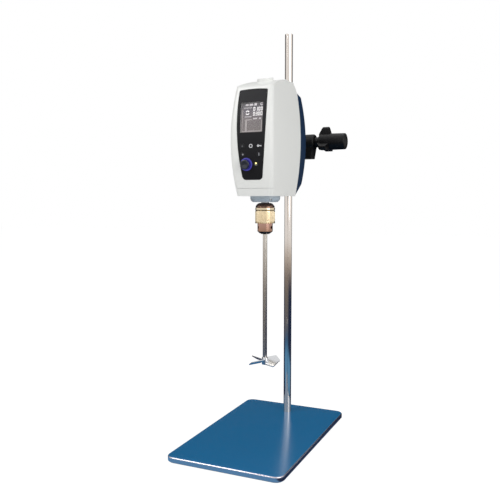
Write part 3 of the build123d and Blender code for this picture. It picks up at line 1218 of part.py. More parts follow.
def chuck_nut():
    """Nut inside the sleeve, coned to follow the backs of the jaws."""
    lean = math.tan(math.radians(JAW_LEAN))
    edge = JAW_R / math.cos(math.radians(JAW_LEAN)) + CHUCK_RUNNING
    low = NUT_BOTTOM + RUNNING
    high = NUT_BOTTOM + NUT_HEIGHT - RUNNING
    inner_low = JAW_TIP_R + (low - JAW_BOTTOM) * lean + edge
    inner_high = JAW_TIP_R + (high - JAW_BOTTOM) * lean + edge
    outer = SLEEVE_BORE_R - FIT
    return turned([(inner_low, low), (outer, low), (outer, high), (inner_high, high)], upright(HEAD_X, SPINDLE_Y))


def stirring_shaft():
    """Plain stirring shaft, chamfered at its top."""
    bar = post(HEAD_X, SPINDLE_Y, SHAFT_BOTTOM_Z, SHAFT_TOP_Z, SHAFT_R)
    return chamfer(bar.faces().sort_by(Axis.Z)[-1].edges(), 0.8)


def impeller():
    """Hub with pitched flat blades."""
    hub = extrude(Pos(0, 0, IMPELLER_Z - HUB_HEIGHT / 2) * Circle(HUB_R), HUB_HEIGHT)
    hub = fillet(hub.edges(), 0.8)
    for angle in around(BLADE_COUNT, BLADE_ANGLE + 45.0):
        blade = block((SHAFT_R + 1.0, -BLADE_WIDTH / 2, -BLADE_THICK / 2), (IMPELLER_R, BLADE_WIDTH / 2, BLADE_THICK / 2))
        tips = blade.edges().filter_by(Axis.Z).sort_by(Axis.X)[-2:]
        blade = fillet(tips, 2.5)
        hub += Rot(0, 0, angle) * Pos(0, 0, IMPELLER_Z) * Rot(BLADE_PITCH, 0, 0) * blade
    hub -= extrude(Circle(SHAFT_R + HUB_GAP), FAR)
    return Pos(HEAD_X, SPINDLE_Y, 0) * hub


# ---------------------------------------------------------------- assembly
def all_nodes():
    """Every named piece of the stirrer."""
    shell = head_shell()
    rod_depth = BOSS_RIGHT - ROD_OFFSET - ROD_R
    column_depth = BOSS_LEFT - COLUMN_R
    nodes = {
        "base_plate": base_plate(),
        "base_mat": base_mat(),
        "column": column(),
        "column_screw": column_screw(),
        "boss_head": boss_head(),
        "rod_clamp_screw": clamp_screw(rod_clamp_plane(), rod_depth),
        "rod_clamp_pad": clamp_pad(rod_clamp_plane(), rod_depth),
        "rod_clamp_knob": clamp_knob(rod_clamp_plane()),
        "column_clamp_screw": clamp_screw(column_clamp_plane(), column_depth),
        "column_clamp_pad": clamp_pad(column_clamp_plane(), column_depth),
        "column_clamp_knob": clamp_knob(column_clamp_plane()),
        "support_rod": support_rod(),
        "main_housing": main_housing(shell),
        "front_fascia": front_fascia(shell),
        "rear_cover": rear_cover(),
        "rear_cover_screws": rear_cover_screws(),
        "top_cap": top_cap(),
        "front_panel": front_panel(),
        "display_window": display_window(),
        "display_module": display_module(),
        "key_mat": key_mat(),
        "light_ring": light_ring(),
        "setting_knob": setting_knob(),
        "encoder_shaft": encoder_shaft(),
        "encoder_body": encoder_body(),
        "status_lamp": status_lamp(),
        "control_board": control_board(),
        "drive_frame": drive_frame(),
        "bearing_outer_rings": bearing_rings(BEARING_OUTER_R - RING_WALL, BEARING_OUTER_R),
        "bearing_inner_rings": bearing_rings(SPINDLE_BEARING_R + FIT, SPINDLE_BEARING_R + RING_WALL),
        "bearing_balls": bearing_balls(),
        "spindle": spindle(),
        "spindle_pulley": toothed_pulley(SPINDLE_PULLEY_TEETH, SPINDLE_TOP_R, SPINDLE_Y),
        "motor_pulley": toothed_pulley(MOTOR_PULLEY_TEETH, MOTOR_SHAFT_R, MOTOR_Y),
        "drive_belt": drive_belt(),
        "motor_body": motor_body(),
        "motor_rotor": motor_rotor(),
        "inner_screws": control_board_screws() + motor_screws() + socket_screws(),
        "shaft_seal": shaft_seal(),
        "spindle_collar": spindle_collar(),
        "collar_screws": collar_screws(),
        "rod_socket": rod_socket(),
        "rod_set_screw": rod_set_screw(),
        "power_board": power_board(),
        "power_inlet": power_inlet(),
        "switch_frame": switch_frame(),
        "switch_rocker": switch_rocker(),
        "chuck_body": chuck_body(),
        "chuck_sleeve": chuck_sleeve(),
        "chuck_nut": chuck_nut(),
        "stirring_shaft": stirring_shaft(),
        "impeller": impeller(),
    }
    for index, place in enumerate(KEY_PLACES, start=1):
        nodes[f"panel_key_{index}"] = panel_key(place)
    for index, angle in enumerate(jaw_angles(), start=1):
        nodes[f"chuck_jaw_{index}"] = chuck_jaw(angle)
    return nodes


def write(nodes):
    """Writes one STEP file for each node."""
    os.makedirs("parts", exist_ok=True)
    for name, piece in nodes.items():
        solids = piece if isinstance(piece, list) else piece.solids()
        solids = [solid for item in solids for solid in item.solids()]
        export_step(solids[0] if len(solids) == 1 else Compound(children=solids), f"parts/{name}.step")


write(all_nodes())
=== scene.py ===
"""Looks of a laboratory overhead stirrer: plate stand, clamped drive head, keyed chuck and pitched-blade impeller.

Every length is in metres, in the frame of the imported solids. The solids keep their meshes and get welded, softly
bevelled edges and a finish; the surfaces that a solid only blocks out are worked out here with numpy.
"""

import logging
import math
from collections.abc import Callable, Sequence
from dataclasses import dataclass, field
from enum import Enum

import bpy
import numpy as np
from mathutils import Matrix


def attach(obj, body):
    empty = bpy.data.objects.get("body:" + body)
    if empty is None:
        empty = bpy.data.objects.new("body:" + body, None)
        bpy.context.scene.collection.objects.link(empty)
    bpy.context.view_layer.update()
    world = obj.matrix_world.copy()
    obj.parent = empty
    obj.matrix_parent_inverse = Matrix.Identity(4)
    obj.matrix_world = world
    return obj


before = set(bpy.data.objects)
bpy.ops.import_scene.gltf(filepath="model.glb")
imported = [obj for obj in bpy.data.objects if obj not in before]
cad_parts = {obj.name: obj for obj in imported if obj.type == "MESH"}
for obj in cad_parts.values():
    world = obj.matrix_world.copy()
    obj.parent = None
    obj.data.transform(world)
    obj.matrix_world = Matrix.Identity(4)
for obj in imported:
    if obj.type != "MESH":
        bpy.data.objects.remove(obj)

LOG = logging.getLogger("stirrer")
MM = 0.001


# ---------------------------------------------------------------- colour and node helpers
def linear(code: str) -> tuple[float, float, float, float]:
    """Turns an sRGB hex colour into the linear values a shader takes.

    Args:
        code: six hex digits, with or without a leading #.

    Returns:
        Red, green, blue and an alpha of 1.
    """
    digits = code.lstrip("#")
    parts = np.array([int(digits[i:i + 2], 16) for i in (0, 2, 4)]) / 255.0
    flat = np.where(parts <= 0.04045, parts / 12.92, ((parts + 0.055) / 1.055) ** 2.4)
    return float(flat[0]), float(flat[1]), float(flat[2]), 1.0


def add_node(tree: bpy.types.NodeTree, kind: str, settings: dict | None = None, links: dict | None = None,
             stops: list[tuple[float, tuple[float, float, float, float]]] | None = None) -> bpy.types.Node:
    """Adds one node with its settings and the links into it.

    Args:
        tree: node tree that takes it.
        kind: Blender's node type name.
        settings: attribute names, or socket names or numbers, with the value of each.
        links: socket names or numbers of the new node, with the output socket that feeds each.
        stops: on a colour ramp, at least two places from 0 to 1 with their colours.

    Returns:
        The new node.
    """
    node = tree.nodes.new(kind)
    for key, value in (settings or {}).items():
        if isinstance(key, str) and hasattr(node, key):
            setattr(node, key, value)
        else:
            node.inputs[key].default_value = value
    for key, source in (links or {}).items():
        tree.links.new(source, node.inputs[key])
    if stops:
        elements = node.color_ramp.elements
        elements[0].position, elements[0].color = stops[0]
        elements[1].position, elements[1].color = stops[-1]
        for place, colour in stops[1:-1]:
            elements.new(place).color = colour
    return node


def grey(level: float) -> tuple[float, float, float, float]:
    """A neutral colour of one linear level."""
    return level, level, level, 1.0


def in_bands(tree: bpy.types.NodeTree, place: bpy.types.NodeSocket, zones: tuple[tuple[float, str], ...],
             axis: int = 2) -> bpy.types.NodeSocket:
    """Colours a surface in bands along an axis.

    Args:
        tree: node tree that takes it.
        place: Object coordinates.
        zones: places along the axis in millimetres, from the lowest, each with its sRGB hex colour.
        axis: 0 for X, 1 for Y, 2 for Z.

    Returns:
        The colour socket.
    """
    low, high = zones[0][0], zones[-1][0]
    along = add_node(tree, "ShaderNodeSeparateXYZ", links={0: place}).outputs[axis]
    share = add_node(tree, "ShaderNodeMapRange", {"From Min": low * MM, "From Max": high * MM},
                     {"Value": along}).outputs[0]
    return add_node(tree, "ShaderNodeValToRGB", links={0: share},
                    stops=[((at - low) / (high - low), linear(code)) for at, code in zones]).outputs[0]


def add_object(name: str, data: bpy.types.ID) -> bpy.types.Object:
    """Adds an object to the scene.

    Args:
        name: its name.
        data: its mesh, light or camera.

    Returns:
        The object, at the origin.
    """
    made = bpy.data.objects.new(name, data)
    bpy.context.scene.collection.objects.link(made)
    return made


# ---------------------------------------------------------------- finishes
LEAST_ROUGH = 0.02      # no real surface is a perfect mirror
GROUND_DRAW = 40.0      # how many times longer than wide a grinding line is drawn
TURNED_DRAW = 25.0      # the same for a line left by a lathe tool


class Grain(Enum):
    """How a surface was made, which sets the pattern of its bump and gloss."""

    SPARK = "spark-eroded mould texture"
    ORANGE_PEEL = "sprayed or powder-coated skin"
    CAST = "sand-cast skin under enamel"
    GROUND = "ground along the part's own axis"
    TURNED = "turned on a lathe"
    POLISHED = "polished, with hairline scratches"
    SMOOTH = "press-polished mould"


@dataclass(frozen=True)
class Skin:
    """What a surface is made of.

    Attributes:
        name: what the material is.
        colour: sRGB hex colour of the bulk.
    """

    name: str
    colour: str

    def material(self) -> bpy.types.Material:
        """The skin as a procedural material on Object coordinates.

        Returns:
            The material, made once and then shared.
        """
        known = bpy.data.materials.get(self.name)
        if known is not None:
            return known
        made = bpy.data.materials.new(self.name)
        made.use_nodes = True
        tree = made.node_tree
        self.lay_on(tree, tree.nodes["Principled BSDF"], add_node(tree, "ShaderNodeTexCoord").outputs["Object"])
        return made

    def lay_on(self, tree: bpy.types.NodeTree, shader: bpy.types.Node, place: bpy.types.NodeSocket) -> None:
        """Sets up the material's nodes.

        Args:
            tree: the material's nodes.
            shader: the surface shader.
            place: Object coordinates.
        """
        raise NotImplementedError(self.name)


@dataclass(frozen=True)
class Finish(Skin):
    """A real material with the skin its process leaves.

    Attributes:
        accent: sRGB hex colour that the variation runs to.
        metal: metallic value, 0 or 1.
        rough: mean roughness.
        rough_swing: how far the roughness varies.
        grain: how the surface was made.
        grain_mm: size of the grain in millimetres, drawn as coarse as it needs to show.
        bump_mm: height of the grain in millimetres.
        vary: share of the accent colour in the variation.
        coat: weight of a clear coat.
        coat_rough: roughness of the coat.
        ior: index of refraction, left at the default on metals.
        axis: direction that a ground or turned lay runs along.
        specular: specular level, below a half on matt black mouldings that swallow light.
        zones: places in millimetres with the colour that heat, oil or light gives the bulk there, or none.
        zone_axis: axis that the zones lie along.
        rim: height in millimetres below which the coat is ground off to bare metal of a colour, or none.
        rim_blend: half the height in millimetres over which the coat thins out at the rim.
        cloud: blotches a metre in the broad variation.
    """

    accent: str
    metal: float = 0.0
    rough: float = 0.4
    rough_swing: float = 0.05
    grain: Grain = Grain.SPARK
    grain_mm: float = 0.6
    bump_mm: float = 0.01
    vary: float = 0.5
    coat: float = 0.0
    coat_rough: float = 0.15
    ior: float = 1.5
    axis: int = 2
    specular: float = 0.5
    zones: tuple[tuple[float, str], ...] = ()
    zone_axis: int = 2
    rim: tuple[float, str] | None = None
    rim_blend: float = 0.25
    cloud: float = 18.0

    def stretch(self) -> tuple[float, float, float]:
        """Scale of the grain along X, Y and Z, in grains a metre.

        Returns:
            Three scales: a ground lay is drawn out along its axis, and a turned one across it.
        """
        base = 1.0 / (self.grain_mm * MM)
        scales = [base, base, base]
        if self.grain is Grain.GROUND:
            scales[self.axis] = base / GROUND_DRAW
        if self.grain is Grain.TURNED:
            scales = [base / TURNED_DRAW] * 3
            scales[self.axis] = base
        return scales[0], scales[1], scales[2]

    def lay_on(self, tree: bpy.types.NodeTree, shader: bpy.types.Node, place: bpy.types.NodeSocket) -> None:
        """Sets up colour that runs to the accent, gloss and bump by the grain, and the coat and rim.

        Args:
            tree: the material's nodes.
            shader: the surface shader.
            place: Object coordinates.
        """
        lay = add_node(tree, "ShaderNodeMapping", {"Scale": self.stretch()}, {"Vector": place}).outputs[0]
        fine = add_node(tree, "ShaderNodeTexNoise", {"Scale": 1.0, "Detail": 3.0, "Roughness": 0.55},
                        {"Vector": lay}).outputs[0]
        broad = add_node(tree, "ShaderNodeTexNoise", {"Scale": self.cloud, "Detail": 4.0, "Roughness": 0.5},
                         {"Vector": place}).outputs[0]
        blend = add_node(tree, "ShaderNodeMath", {"operation": "MULTIPLY", 1: self.vary}, {0: broad}).outputs[0]
        tone = add_node(tree, "ShaderNodeMix", {"data_type": "RGBA", 6: linear(self.colour), 7: linear(self.accent)},
                        {"Factor": blend})
        if self.zones:
            tree.links.new(in_bands(tree, place, self.zones, self.zone_axis), tone.inputs[6])
        tree.links.new(tone.outputs[2], shader.inputs["Base Color"])
        least = max(self.rough - self.rough_swing, LEAST_ROUGH)
        gloss = add_node(tree, "ShaderNodeMapRange", {"To Min": least, "To Max": self.rough + self.rough_swing},
                         {"Value": fine if self.grain in (Grain.GROUND, Grain.TURNED) else broad}).outputs[0]
        tree.links.new(gloss, shader.inputs["Roughness"])
        shader.inputs["Metallic"].default_value = self.metal
        if self.metal < 0.5:
            shader.inputs["IOR"].default_value = self.ior
            shader.inputs["Specular IOR Level"].default_value = self.specular
        if self.coat > 0:
            shader.inputs["Coat Weight"].default_value = self.coat
            shader.inputs["Coat Roughness"].default_value = self.coat_rough
        if self.bump_mm > 0:
            bump = add_node(tree, "ShaderNodeBump", {"Strength": 1.0, "Distance": self.bump_mm * MM},
                            {"Height": fine}).outputs[0]
            tree.links.new(bump, shader.inputs["Normal"])
        if self.rim is not None:
            self.bare_rim(tree, place, tone.outputs[2], shader)

    def bare_rim(self, tree: bpy.types.NodeTree, place: bpy.types.NodeSocket, coated: bpy.types.NodeSocket,
                 shader: bpy.types.Node) -> None:
        """Turns the finish to bare metal below the rim's height.

        Args:
            tree: the material's nodes.
            place: Object coordinates.
            coated: colour of the coat.
            shader: the surface shader.
        """
        height, colour = self.rim
        up = add_node(tree, "ShaderNodeSeparateXYZ", links={0: place}).outputs["Z"]
        ends = {"From Min": (height + self.rim_blend) * MM, "From Max": (height - self.rim_blend) * MM}
        bare = add_node(tree, "ShaderNodeMapRange", ends, {"Value": up}).outputs[0]
        skin = add_node(tree, "ShaderNodeMix", {"data_type": "RGBA", 7: linear(colour)}, {"Factor": bare, 6: coated})
        tree.links.new(skin.outputs[2], shader.inputs["Base Color"])
        tree.links.new(bare, shader.inputs["Metallic"])


@dataclass(frozen=True)
class Glow(Skin):
    """A printed or lit mark: a matt colour with a little light of its own, which on a print is painted light, mottled
    as print and diffusers are.

    Attributes:
        light: strength of its own light.
        zones: heights in millimetres with the colour there, or none.
        speck: specks a metre in the mottle.
        dim: share of the colour in the mottle's dark specks.
    """

    light: float = 0.6
    zones: tuple[tuple[float, str], ...] = ()
    speck: float = 900.0
    dim: float = 0.82

    def lay_on(self, tree: bpy.types.NodeTree, shader: bpy.types.Node, place: bpy.types.NodeSocket) -> None:
        """Sets up the colour, which also gives the light.

        Args:
            tree: the material's nodes.
            shader: the surface shader.
            place: Object coordinates.
        """
        if self.zones:
            tone = in_bands(tree, place, self.zones)
        else:
            mottle = add_node(tree, "ShaderNodeTexNoise", {"Scale": self.speck, "Detail": 2.0},
                              {"Vector": place}).outputs[0]
            full = linear(self.colour)
            low = (self.dim * full[0], self.dim * full[1], self.dim * full[2], 1.0)
            tone = add_node(tree, "ShaderNodeValToRGB", links={0: mottle}, stops=[(0.35, low), (0.65, full)]).outputs[0]
        tree.links.new(tone, shader.inputs["Base Color"])
        tree.links.new(tone, shader.inputs["Emission Color"])
        shader.inputs["Emission Strength"].default_value = self.light
        shader.inputs["Roughness"].default_value = 0.5


@dataclass(frozen=True)
class ClearWindow(Skin):
    """Hard-coated clear sheet over the display: nearly invisible, with a faint gloss.

    Attributes:
        haze: share of the tint that shows.
        rough: roughness of the hard coat.
        waves: waves a metre in its face.
        wave_mm: height of a wave in millimetres.
    """

    haze: float = 0.12
    rough: float = 0.18
    waves: float = 120.0
    wave_mm: float = 0.02

    def lay_on(self, tree: bpy.types.NodeTree, shader: bpy.types.Node, place: bpy.types.NodeSocket) -> None:
        """Sets up a tinted gloss that is mostly see-through, on a slightly wavy face.

        Args:
            tree: the material's nodes.
            shader: the surface shader.
            place: Object coordinates.
        """
        shader.inputs["Base Color"].default_value = linear(self.colour)
        shader.inputs["Roughness"].default_value = self.rough
        shader.inputs["Alpha"].default_value = self.haze
        wave = add_node(tree, "ShaderNodeTexNoise", {"Scale": self.waves, "Detail": 1.0}, {"Vector": place}).outputs[0]
        bump = add_node(tree, "ShaderNodeBump", {"Strength": 0.3, "Distance": self.wave_mm * MM},
                        {"Height": wave}).outputs[0]
        tree.links.new(bump, shader.inputs["Normal"])


# Where a grain is too fine to show from where the stirrer is seen, it is drawn as coarse as it needs to show.
# Powder coat on steel plate: satin blue with a slight orange peel that blurs what stands on it, ground off round
# the edge, where the steel shines blue-grey.
PLATE_COAT = Finish("blue powder coat over ground steel", "#0C6FA4", "#0A669A", rough=0.23, rough_swing=0.03,
                    grain=Grain.ORANGE_PEEL, grain_mm=1.4, bump_mm=0.006, coat=0.45, rim=(10.6, "#CBC4CA"))
# Nitrile sheet: matt black with a fine moulded tooth.
MAT_RUBBER = Finish("black nitrile rubber", "#101012", "#1B1B1D", rough=0.85, grain_mm=0.5, bump_mm=0.03)
# Hard chrome on drawn tube: mirror bright with hairlines along the draw.
COLUMN_CHROME = Finish("hard chrome on steel tube", "#DED5CD", "#CFC8C2", metal=1.0, rough=0.09, rough_swing=0.03,
                       grain=Grain.GROUND, grain_mm=0.35, bump_mm=0.001)
# Machined steel screws and rings: dull lathe gloss.
TURNED_STEEL = Finish("turned steel", "#A9ABAE", "#8E9094", metal=1.0, rough=0.32, rough_swing=0.08,
                      grain=Grain.TURNED, grain_mm=0.3, bump_mm=0.004)
# Black enamel on an aluminium casting: satin, a little lumpy from the sand.
CLAMP_ENAMEL = Finish("black enamel on cast aluminium", "#09090B", "#0E0E10", rough=0.5, grain=Grain.CAST,
                      grain_mm=1.1, bump_mm=0.02, specular=0.22)
# Turned brass pads: warm dull yellow.
PAD_BRASS = Finish("turned brass", "#C3A362", "#A98A4D", metal=1.0, rough=0.35, grain=Grain.TURNED, grain_mm=0.3,
                   bump_mm=0.004)
# Glass-filled nylon knobs: black, fine spark texture.
KNOB_NYLON = Finish("black glass-filled nylon", "#08080A", "#0D0D10", rough=0.46, grain_mm=0.5, bump_mm=0.01,
                    specular=0.24)
# Ground stainless rod and shaft: warm grey, with a lay so fine that it only spreads the gloss along the length.
GROUND_STAINLESS = Finish("ground stainless steel", "#D2CDC5", "#C6C1BA", metal=1.0, rough=0.2, rough_swing=0.02,
                          grain=Grain.GROUND, grain_mm=0.25, bump_mm=0.0)
ROD_STAINLESS = Finish("ground stainless rod", "#C4C5C7", "#B4B6BA", metal=1.0, rough=0.22, rough_swing=0.03,
                       grain=Grain.GROUND, grain_mm=0.25, bump_mm=0.0, axis=1)
# Electropolished blades: brighter than the shaft, softly uneven.
BLADE_STEEL = Finish("electropolished stainless steel", "#D8D9DB", "#C9CBCE", metal=1.0, rough=0.16, rough_swing=0.03,
                     grain=Grain.POLISHED, grain_mm=1.2, bump_mm=0.0006)
# ABS shell: warm white with a fine spark texture that keeps highlights broad.
SHELL_ABS = Finish("white ABS", "#EDEEEB", "#E6E7E4", rough=0.38, grain_mm=0.55, bump_mm=0.006, ior=1.54)
# ABS rear cover: navy, satin.
COVER_ABS = Finish("navy ABS", "#0A2A4B", "#082440", rough=0.42, grain_mm=0.55, bump_mm=0.006, ior=1.54,
                   specular=0.2)
# Polyester film over the controls: near black, silky.
PANEL_FILM = Finish("black polyester film", "#1B1B1E", "#18181A", rough=0.42, grain=Grain.SMOOTH, grain_mm=0.4,
                    bump_mm=0.003, specular=0.14)
# Silicone key tops: black like the film but flatter.
KEY_FILM = Finish("black silicone key tops", "#202023", "#1C1C1E", rough=0.5, grain=Grain.SMOOTH, grain_mm=0.4,
                  bump_mm=0.003, specular=0.2)
# Display glass and polariser: warm grey and lit, darker towards the top.
DISPLAY_GREY = Glow("lit display", "#7E7777", light=0.2,
                    zones=((572.0, "#827B7A"), (594.0, "#7B7475"), (607.0, "#5F5A63"), (623.0, "#37353B")))
# Hard-coated sheet over it.
WINDOW = ClearWindow("hard-coated acrylic", "#8A8585")
# Dial: dark moulded cap on a clear skirt; the violet towards the skirt's base is painted light from the lit ring.
DIAL_CAP_WITH_PAINTED_RING_LIGHT = Finish("dark polycarbonate with painted ring light", "#1C2230", "#171B28", rough=0.25, grain=Grain.SMOOTH, grain_mm=0.4,
                  bump_mm=0.002, coat=0.3, zone_axis=1,
                  # The violet zones from -123.0 to -116.0 are painted light from the ring; the dark ones are the cap's
                  # own colour.
                  zones=((-126.5, "#242B36"), (-124.2, "#1E2433"), (-123.0, "#2C2885"), (-116.0, "#353096")))
# Light guide round the dial, and the lamp below: evenly lit.
RING_GLOW = Glow("lit violet ring", "#3D3898", light=0.35)
LAMP_GLOW = Glow("lit amber lamp", "#FFF0A0", light=1.2)
# Solder mask over glass-epoxy: dark green and glossy.
BOARD_GREEN = Finish("green solder mask", "#1D5A33", "#16482A", rough=0.3, grain=Grain.SMOOTH, grain_mm=2.0,
                     bump_mm=0.02)
# Die-cast aluminium: pale grey, slightly rough skin.
CAST_ALUMINIUM = Finish("die-cast aluminium", "#B9BBBE", "#A5A8AC", metal=1.0, rough=0.45, grain=Grain.CAST,
                        grain_mm=0.9, bump_mm=0.015)
# Toothed belt: dead matt black.
BELT_RUBBER = Finish("neoprene belt", "#151515", "#1E1E1E", rough=0.8, grain_mm=0.4, bump_mm=0.02)
# Zinc plate on the motor's drawn can: dull grey with a faint bloom.
MOTOR_STEEL = Finish("zinc-plated steel", "#80848A", "#6E7278", metal=1.0, rough=0.4, grain_mm=0.8, bump_mm=0.006)
# Painted collar: satin grey-blue.
COLLAR_PAINT = Finish("grey-blue lacquer on aluminium", "#B0BCC6", "#A4B1BC", rough=0.3, grain=Grain.ORANGE_PEEL,
                      grain_mm=1.0, bump_mm=0.006, coat=0.3)
# Moulded inlet and switch: black, satin.
INLET_NYLON = Finish("black nylon inlet", "#141416", "#1C1C1F", rough=0.5, grain_mm=0.4, bump_mm=0.01)
# Chuck sleeve: bright-ground tool steel, straw-coloured, with painted shade in the ring groove and a painted dark
# reflection at its foot.
SLEEVE_STEEL_WITH_PAINTED_SHADE = Finish("straw-coloured tool steel with painted shade", "#E4D2B2", "#CDB890", metal=1.0, rough=0.15, rough_swing=0.05,
                      grain=Grain.TURNED, grain_mm=0.3, bump_mm=0.0015,
                      # The dark zones at 416 and from 439.6 to 440.4 are painted shade and painted dark reflection, not
                      # the steel's colour.
                      zones=((416.0, "#8C7A5A"), (418.5, "#E4D2B2"), (438.8, "#E8D7B8"), (439.6, "#9A7F50"),
                             (440.4, "#9A7F50"), (441.2, "#EADBC0"), (446.0, "#E4D2B2")))
# Chuck body: the same steel, hardened to a copper brown at the nose; the dark bands at the crown, under the head, and
# at the tip are painted shade and painted dark reflection.
CHUCK_STEEL_WITH_PAINTED_SHADE = Finish("hardened chuck steel with painted shade", "#C09680", "#A87C68", metal=1.0, rough=0.16, rough_swing=0.05,
                     grain=Grain.TURNED, grain_mm=0.3, bump_mm=0.0015,
                     # The zones at the tip, up to 401.6, and from 443 up to the crown are painted shade and painted
                     # dark reflection.
                     zones=((398.8, "#26221F"), (401.6, "#2E2622"), (403.2, "#9C7C68"), (417.0, "#B8958A"),
                            (443.0, "#7A5C50"), (445.5, "#6E5A50"), (453.0, "#54443B")))
# Blackened jaws: dark grey with ground faces.
JAW_STEEL = Finish("blackened jaw steel", "#5A5856", "#3F3D3C", metal=1.0, rough=0.3, grain=Grain.GROUND,
                   grain_mm=0.3, bump_mm=0.004)
# Printed and lit marks: flat and even, the display's brighter than the keys'. The light given to the screen prints on
# the keys and the panel is painted light.
WHITE_PRINT = Glow("white screen print", "#C9C9CC", light=0.3)
PALE_PRINT = Glow("grey screen print", "#8E8E94", light=0.1)
FAINT_PRINT = Glow("dark grey screen print", "#55565A", light=0.05)
DISPLAY_INK = Glow("display figures", "#F4F2F2", light=0.75)
DISPLAY_SIGN = Glow("display signs", "#CFCBCE", light=0.5)
DISPLAY_LINE = Glow("display lines", "#B2ABAB", light=0.42)


# ---------------------------------------------------------------- meshes
def face_mesh(name: str, points: np.ndarray, faces: np.ndarray, finish: Skin, body: str) -> bpy.types.Object:
    """Makes a flat-shaded piece from points and faces of one size.

    Args:
        name: piece name.
        points: array of shape (n, 3) in metres.
        faces: array of shape (m, k) of point numbers, anticlockwise from outside.
        finish: its material.
        body: body that it rides on.

    Returns:
        The piece, at the origin, riding on the body.
    """
    mesh = bpy.data.meshes.new(name)
    mesh.from_pydata(points.tolist(), [], faces.tolist())
    mesh.polygons.foreach_set("use_smooth", np.zeros(len(mesh.polygons), bool))
    mesh.update()
    mesh.materials.append(finish.material())
    piece = add_object(name, mesh)
    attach(piece, body)
    LOG.info("%s: %d faces on %s", name, len(mesh.polygons), body)
    return piece


def stage_sheet(name: str, corners: np.ndarray, material: bpy.types.Material) -> bpy.types.Object:
    """Makes a four-cornered sheet of the studio.

    Args:
        name: sheet name.
        corners: array of shape (4, 3) in metres, in order round the sheet.
        material: its material.

    Returns:
        The sheet, kept out of the part.
    """
    mesh = bpy.data.meshes.new(name)
    mesh.from_pydata(corners.tolist(), [], [(0, 1, 2, 3)])
    mesh.materials.append(material)
    sheet = add_object(name, mesh)
    return sheet


@dataclass
class NodeDresser:
    """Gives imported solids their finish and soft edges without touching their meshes.

    Attributes:
        weld: distance in metres at which loose triangles' corners are joined.
        crease: angle in degrees above which an edge stays sharp.
        bevel_more: degrees past the crease at which an edge is softened.
    """

    weld: float = 0.01 * MM
    crease: float = 28.0
    bevel_more: float = 5.0

    def dress(self, name: str, finish: Skin, edge_mm: float = 0.0) -> None:
        """Dresses one node.

        Args:
            name: the node.
            finish: its material.
            edge_mm: width of the soft edge, 0 for none.
        """
        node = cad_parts[name]
        node.data.materials.clear()
        node.data.materials.append(finish.material())
        node.data.polygons.foreach_set("use_smooth", np.ones(len(node.data.polygons), bool))
        join = node.modifiers.new("join", "WELD")
        join.merge_threshold = self.weld
        if edge_mm > 0:
            soft = node.modifiers.new("soft edge", "BEVEL")
            soft.width = edge_mm * MM
            soft.segments = 2
            soft.limit_method = "ANGLE"
            soft.angle_limit = math.radians(self.crease + self.bevel_more)
            soft.use_clamp_overlap = True
        part = node.modifiers.new("crease", "EDGE_SPLIT")
        part.split_angle = math.radians(self.crease)
        LOG.info("%s: %s", name, finish.name)

    def dress_all(self, finishes: dict[str, Skin]) -> None:
        """Dresses several nodes, one finish each."""
        for name, finish in finishes.items():
            self.dress(name, finish)


@dataclass
class FrontFace:
    """The head's bulged front: a cylinder lying along X, so y = centre y - sqrt(R^2 - (z - centre z)^2).

    Attributes:
        centre_y: Y of the cylinder's axis.
        centre_z: Z of the cylinder's axis.
        radius: its radius.
        middle_x: X of the control panel's middle.
    """

    centre_y: float = 190.0 * MM
    centre_z: float = 559.0 * MM
    radius: float = 309.0 * MM
    middle_x: float = 28.8 * MM

    def points(self, across: np.ndarray, height: np.ndarray, lift: float) -> np.ndarray:
        """Points on the front, lifted along its normal.

        Args:
            across: distances from the panel's middle, in metres.
            height: heights Z, in metres.
            lift: distance out of the face.

        Returns:
            Array of the inputs' shape with a last axis of 3.
        """
        lean = np.arcsin((height - self.centre_z) / self.radius)
        out = self.radius + lift
        return np.stack([self.middle_x + across, self.centre_y - out * np.cos(lean),
                         self.centre_z + out * np.sin(lean)], axis=-1)


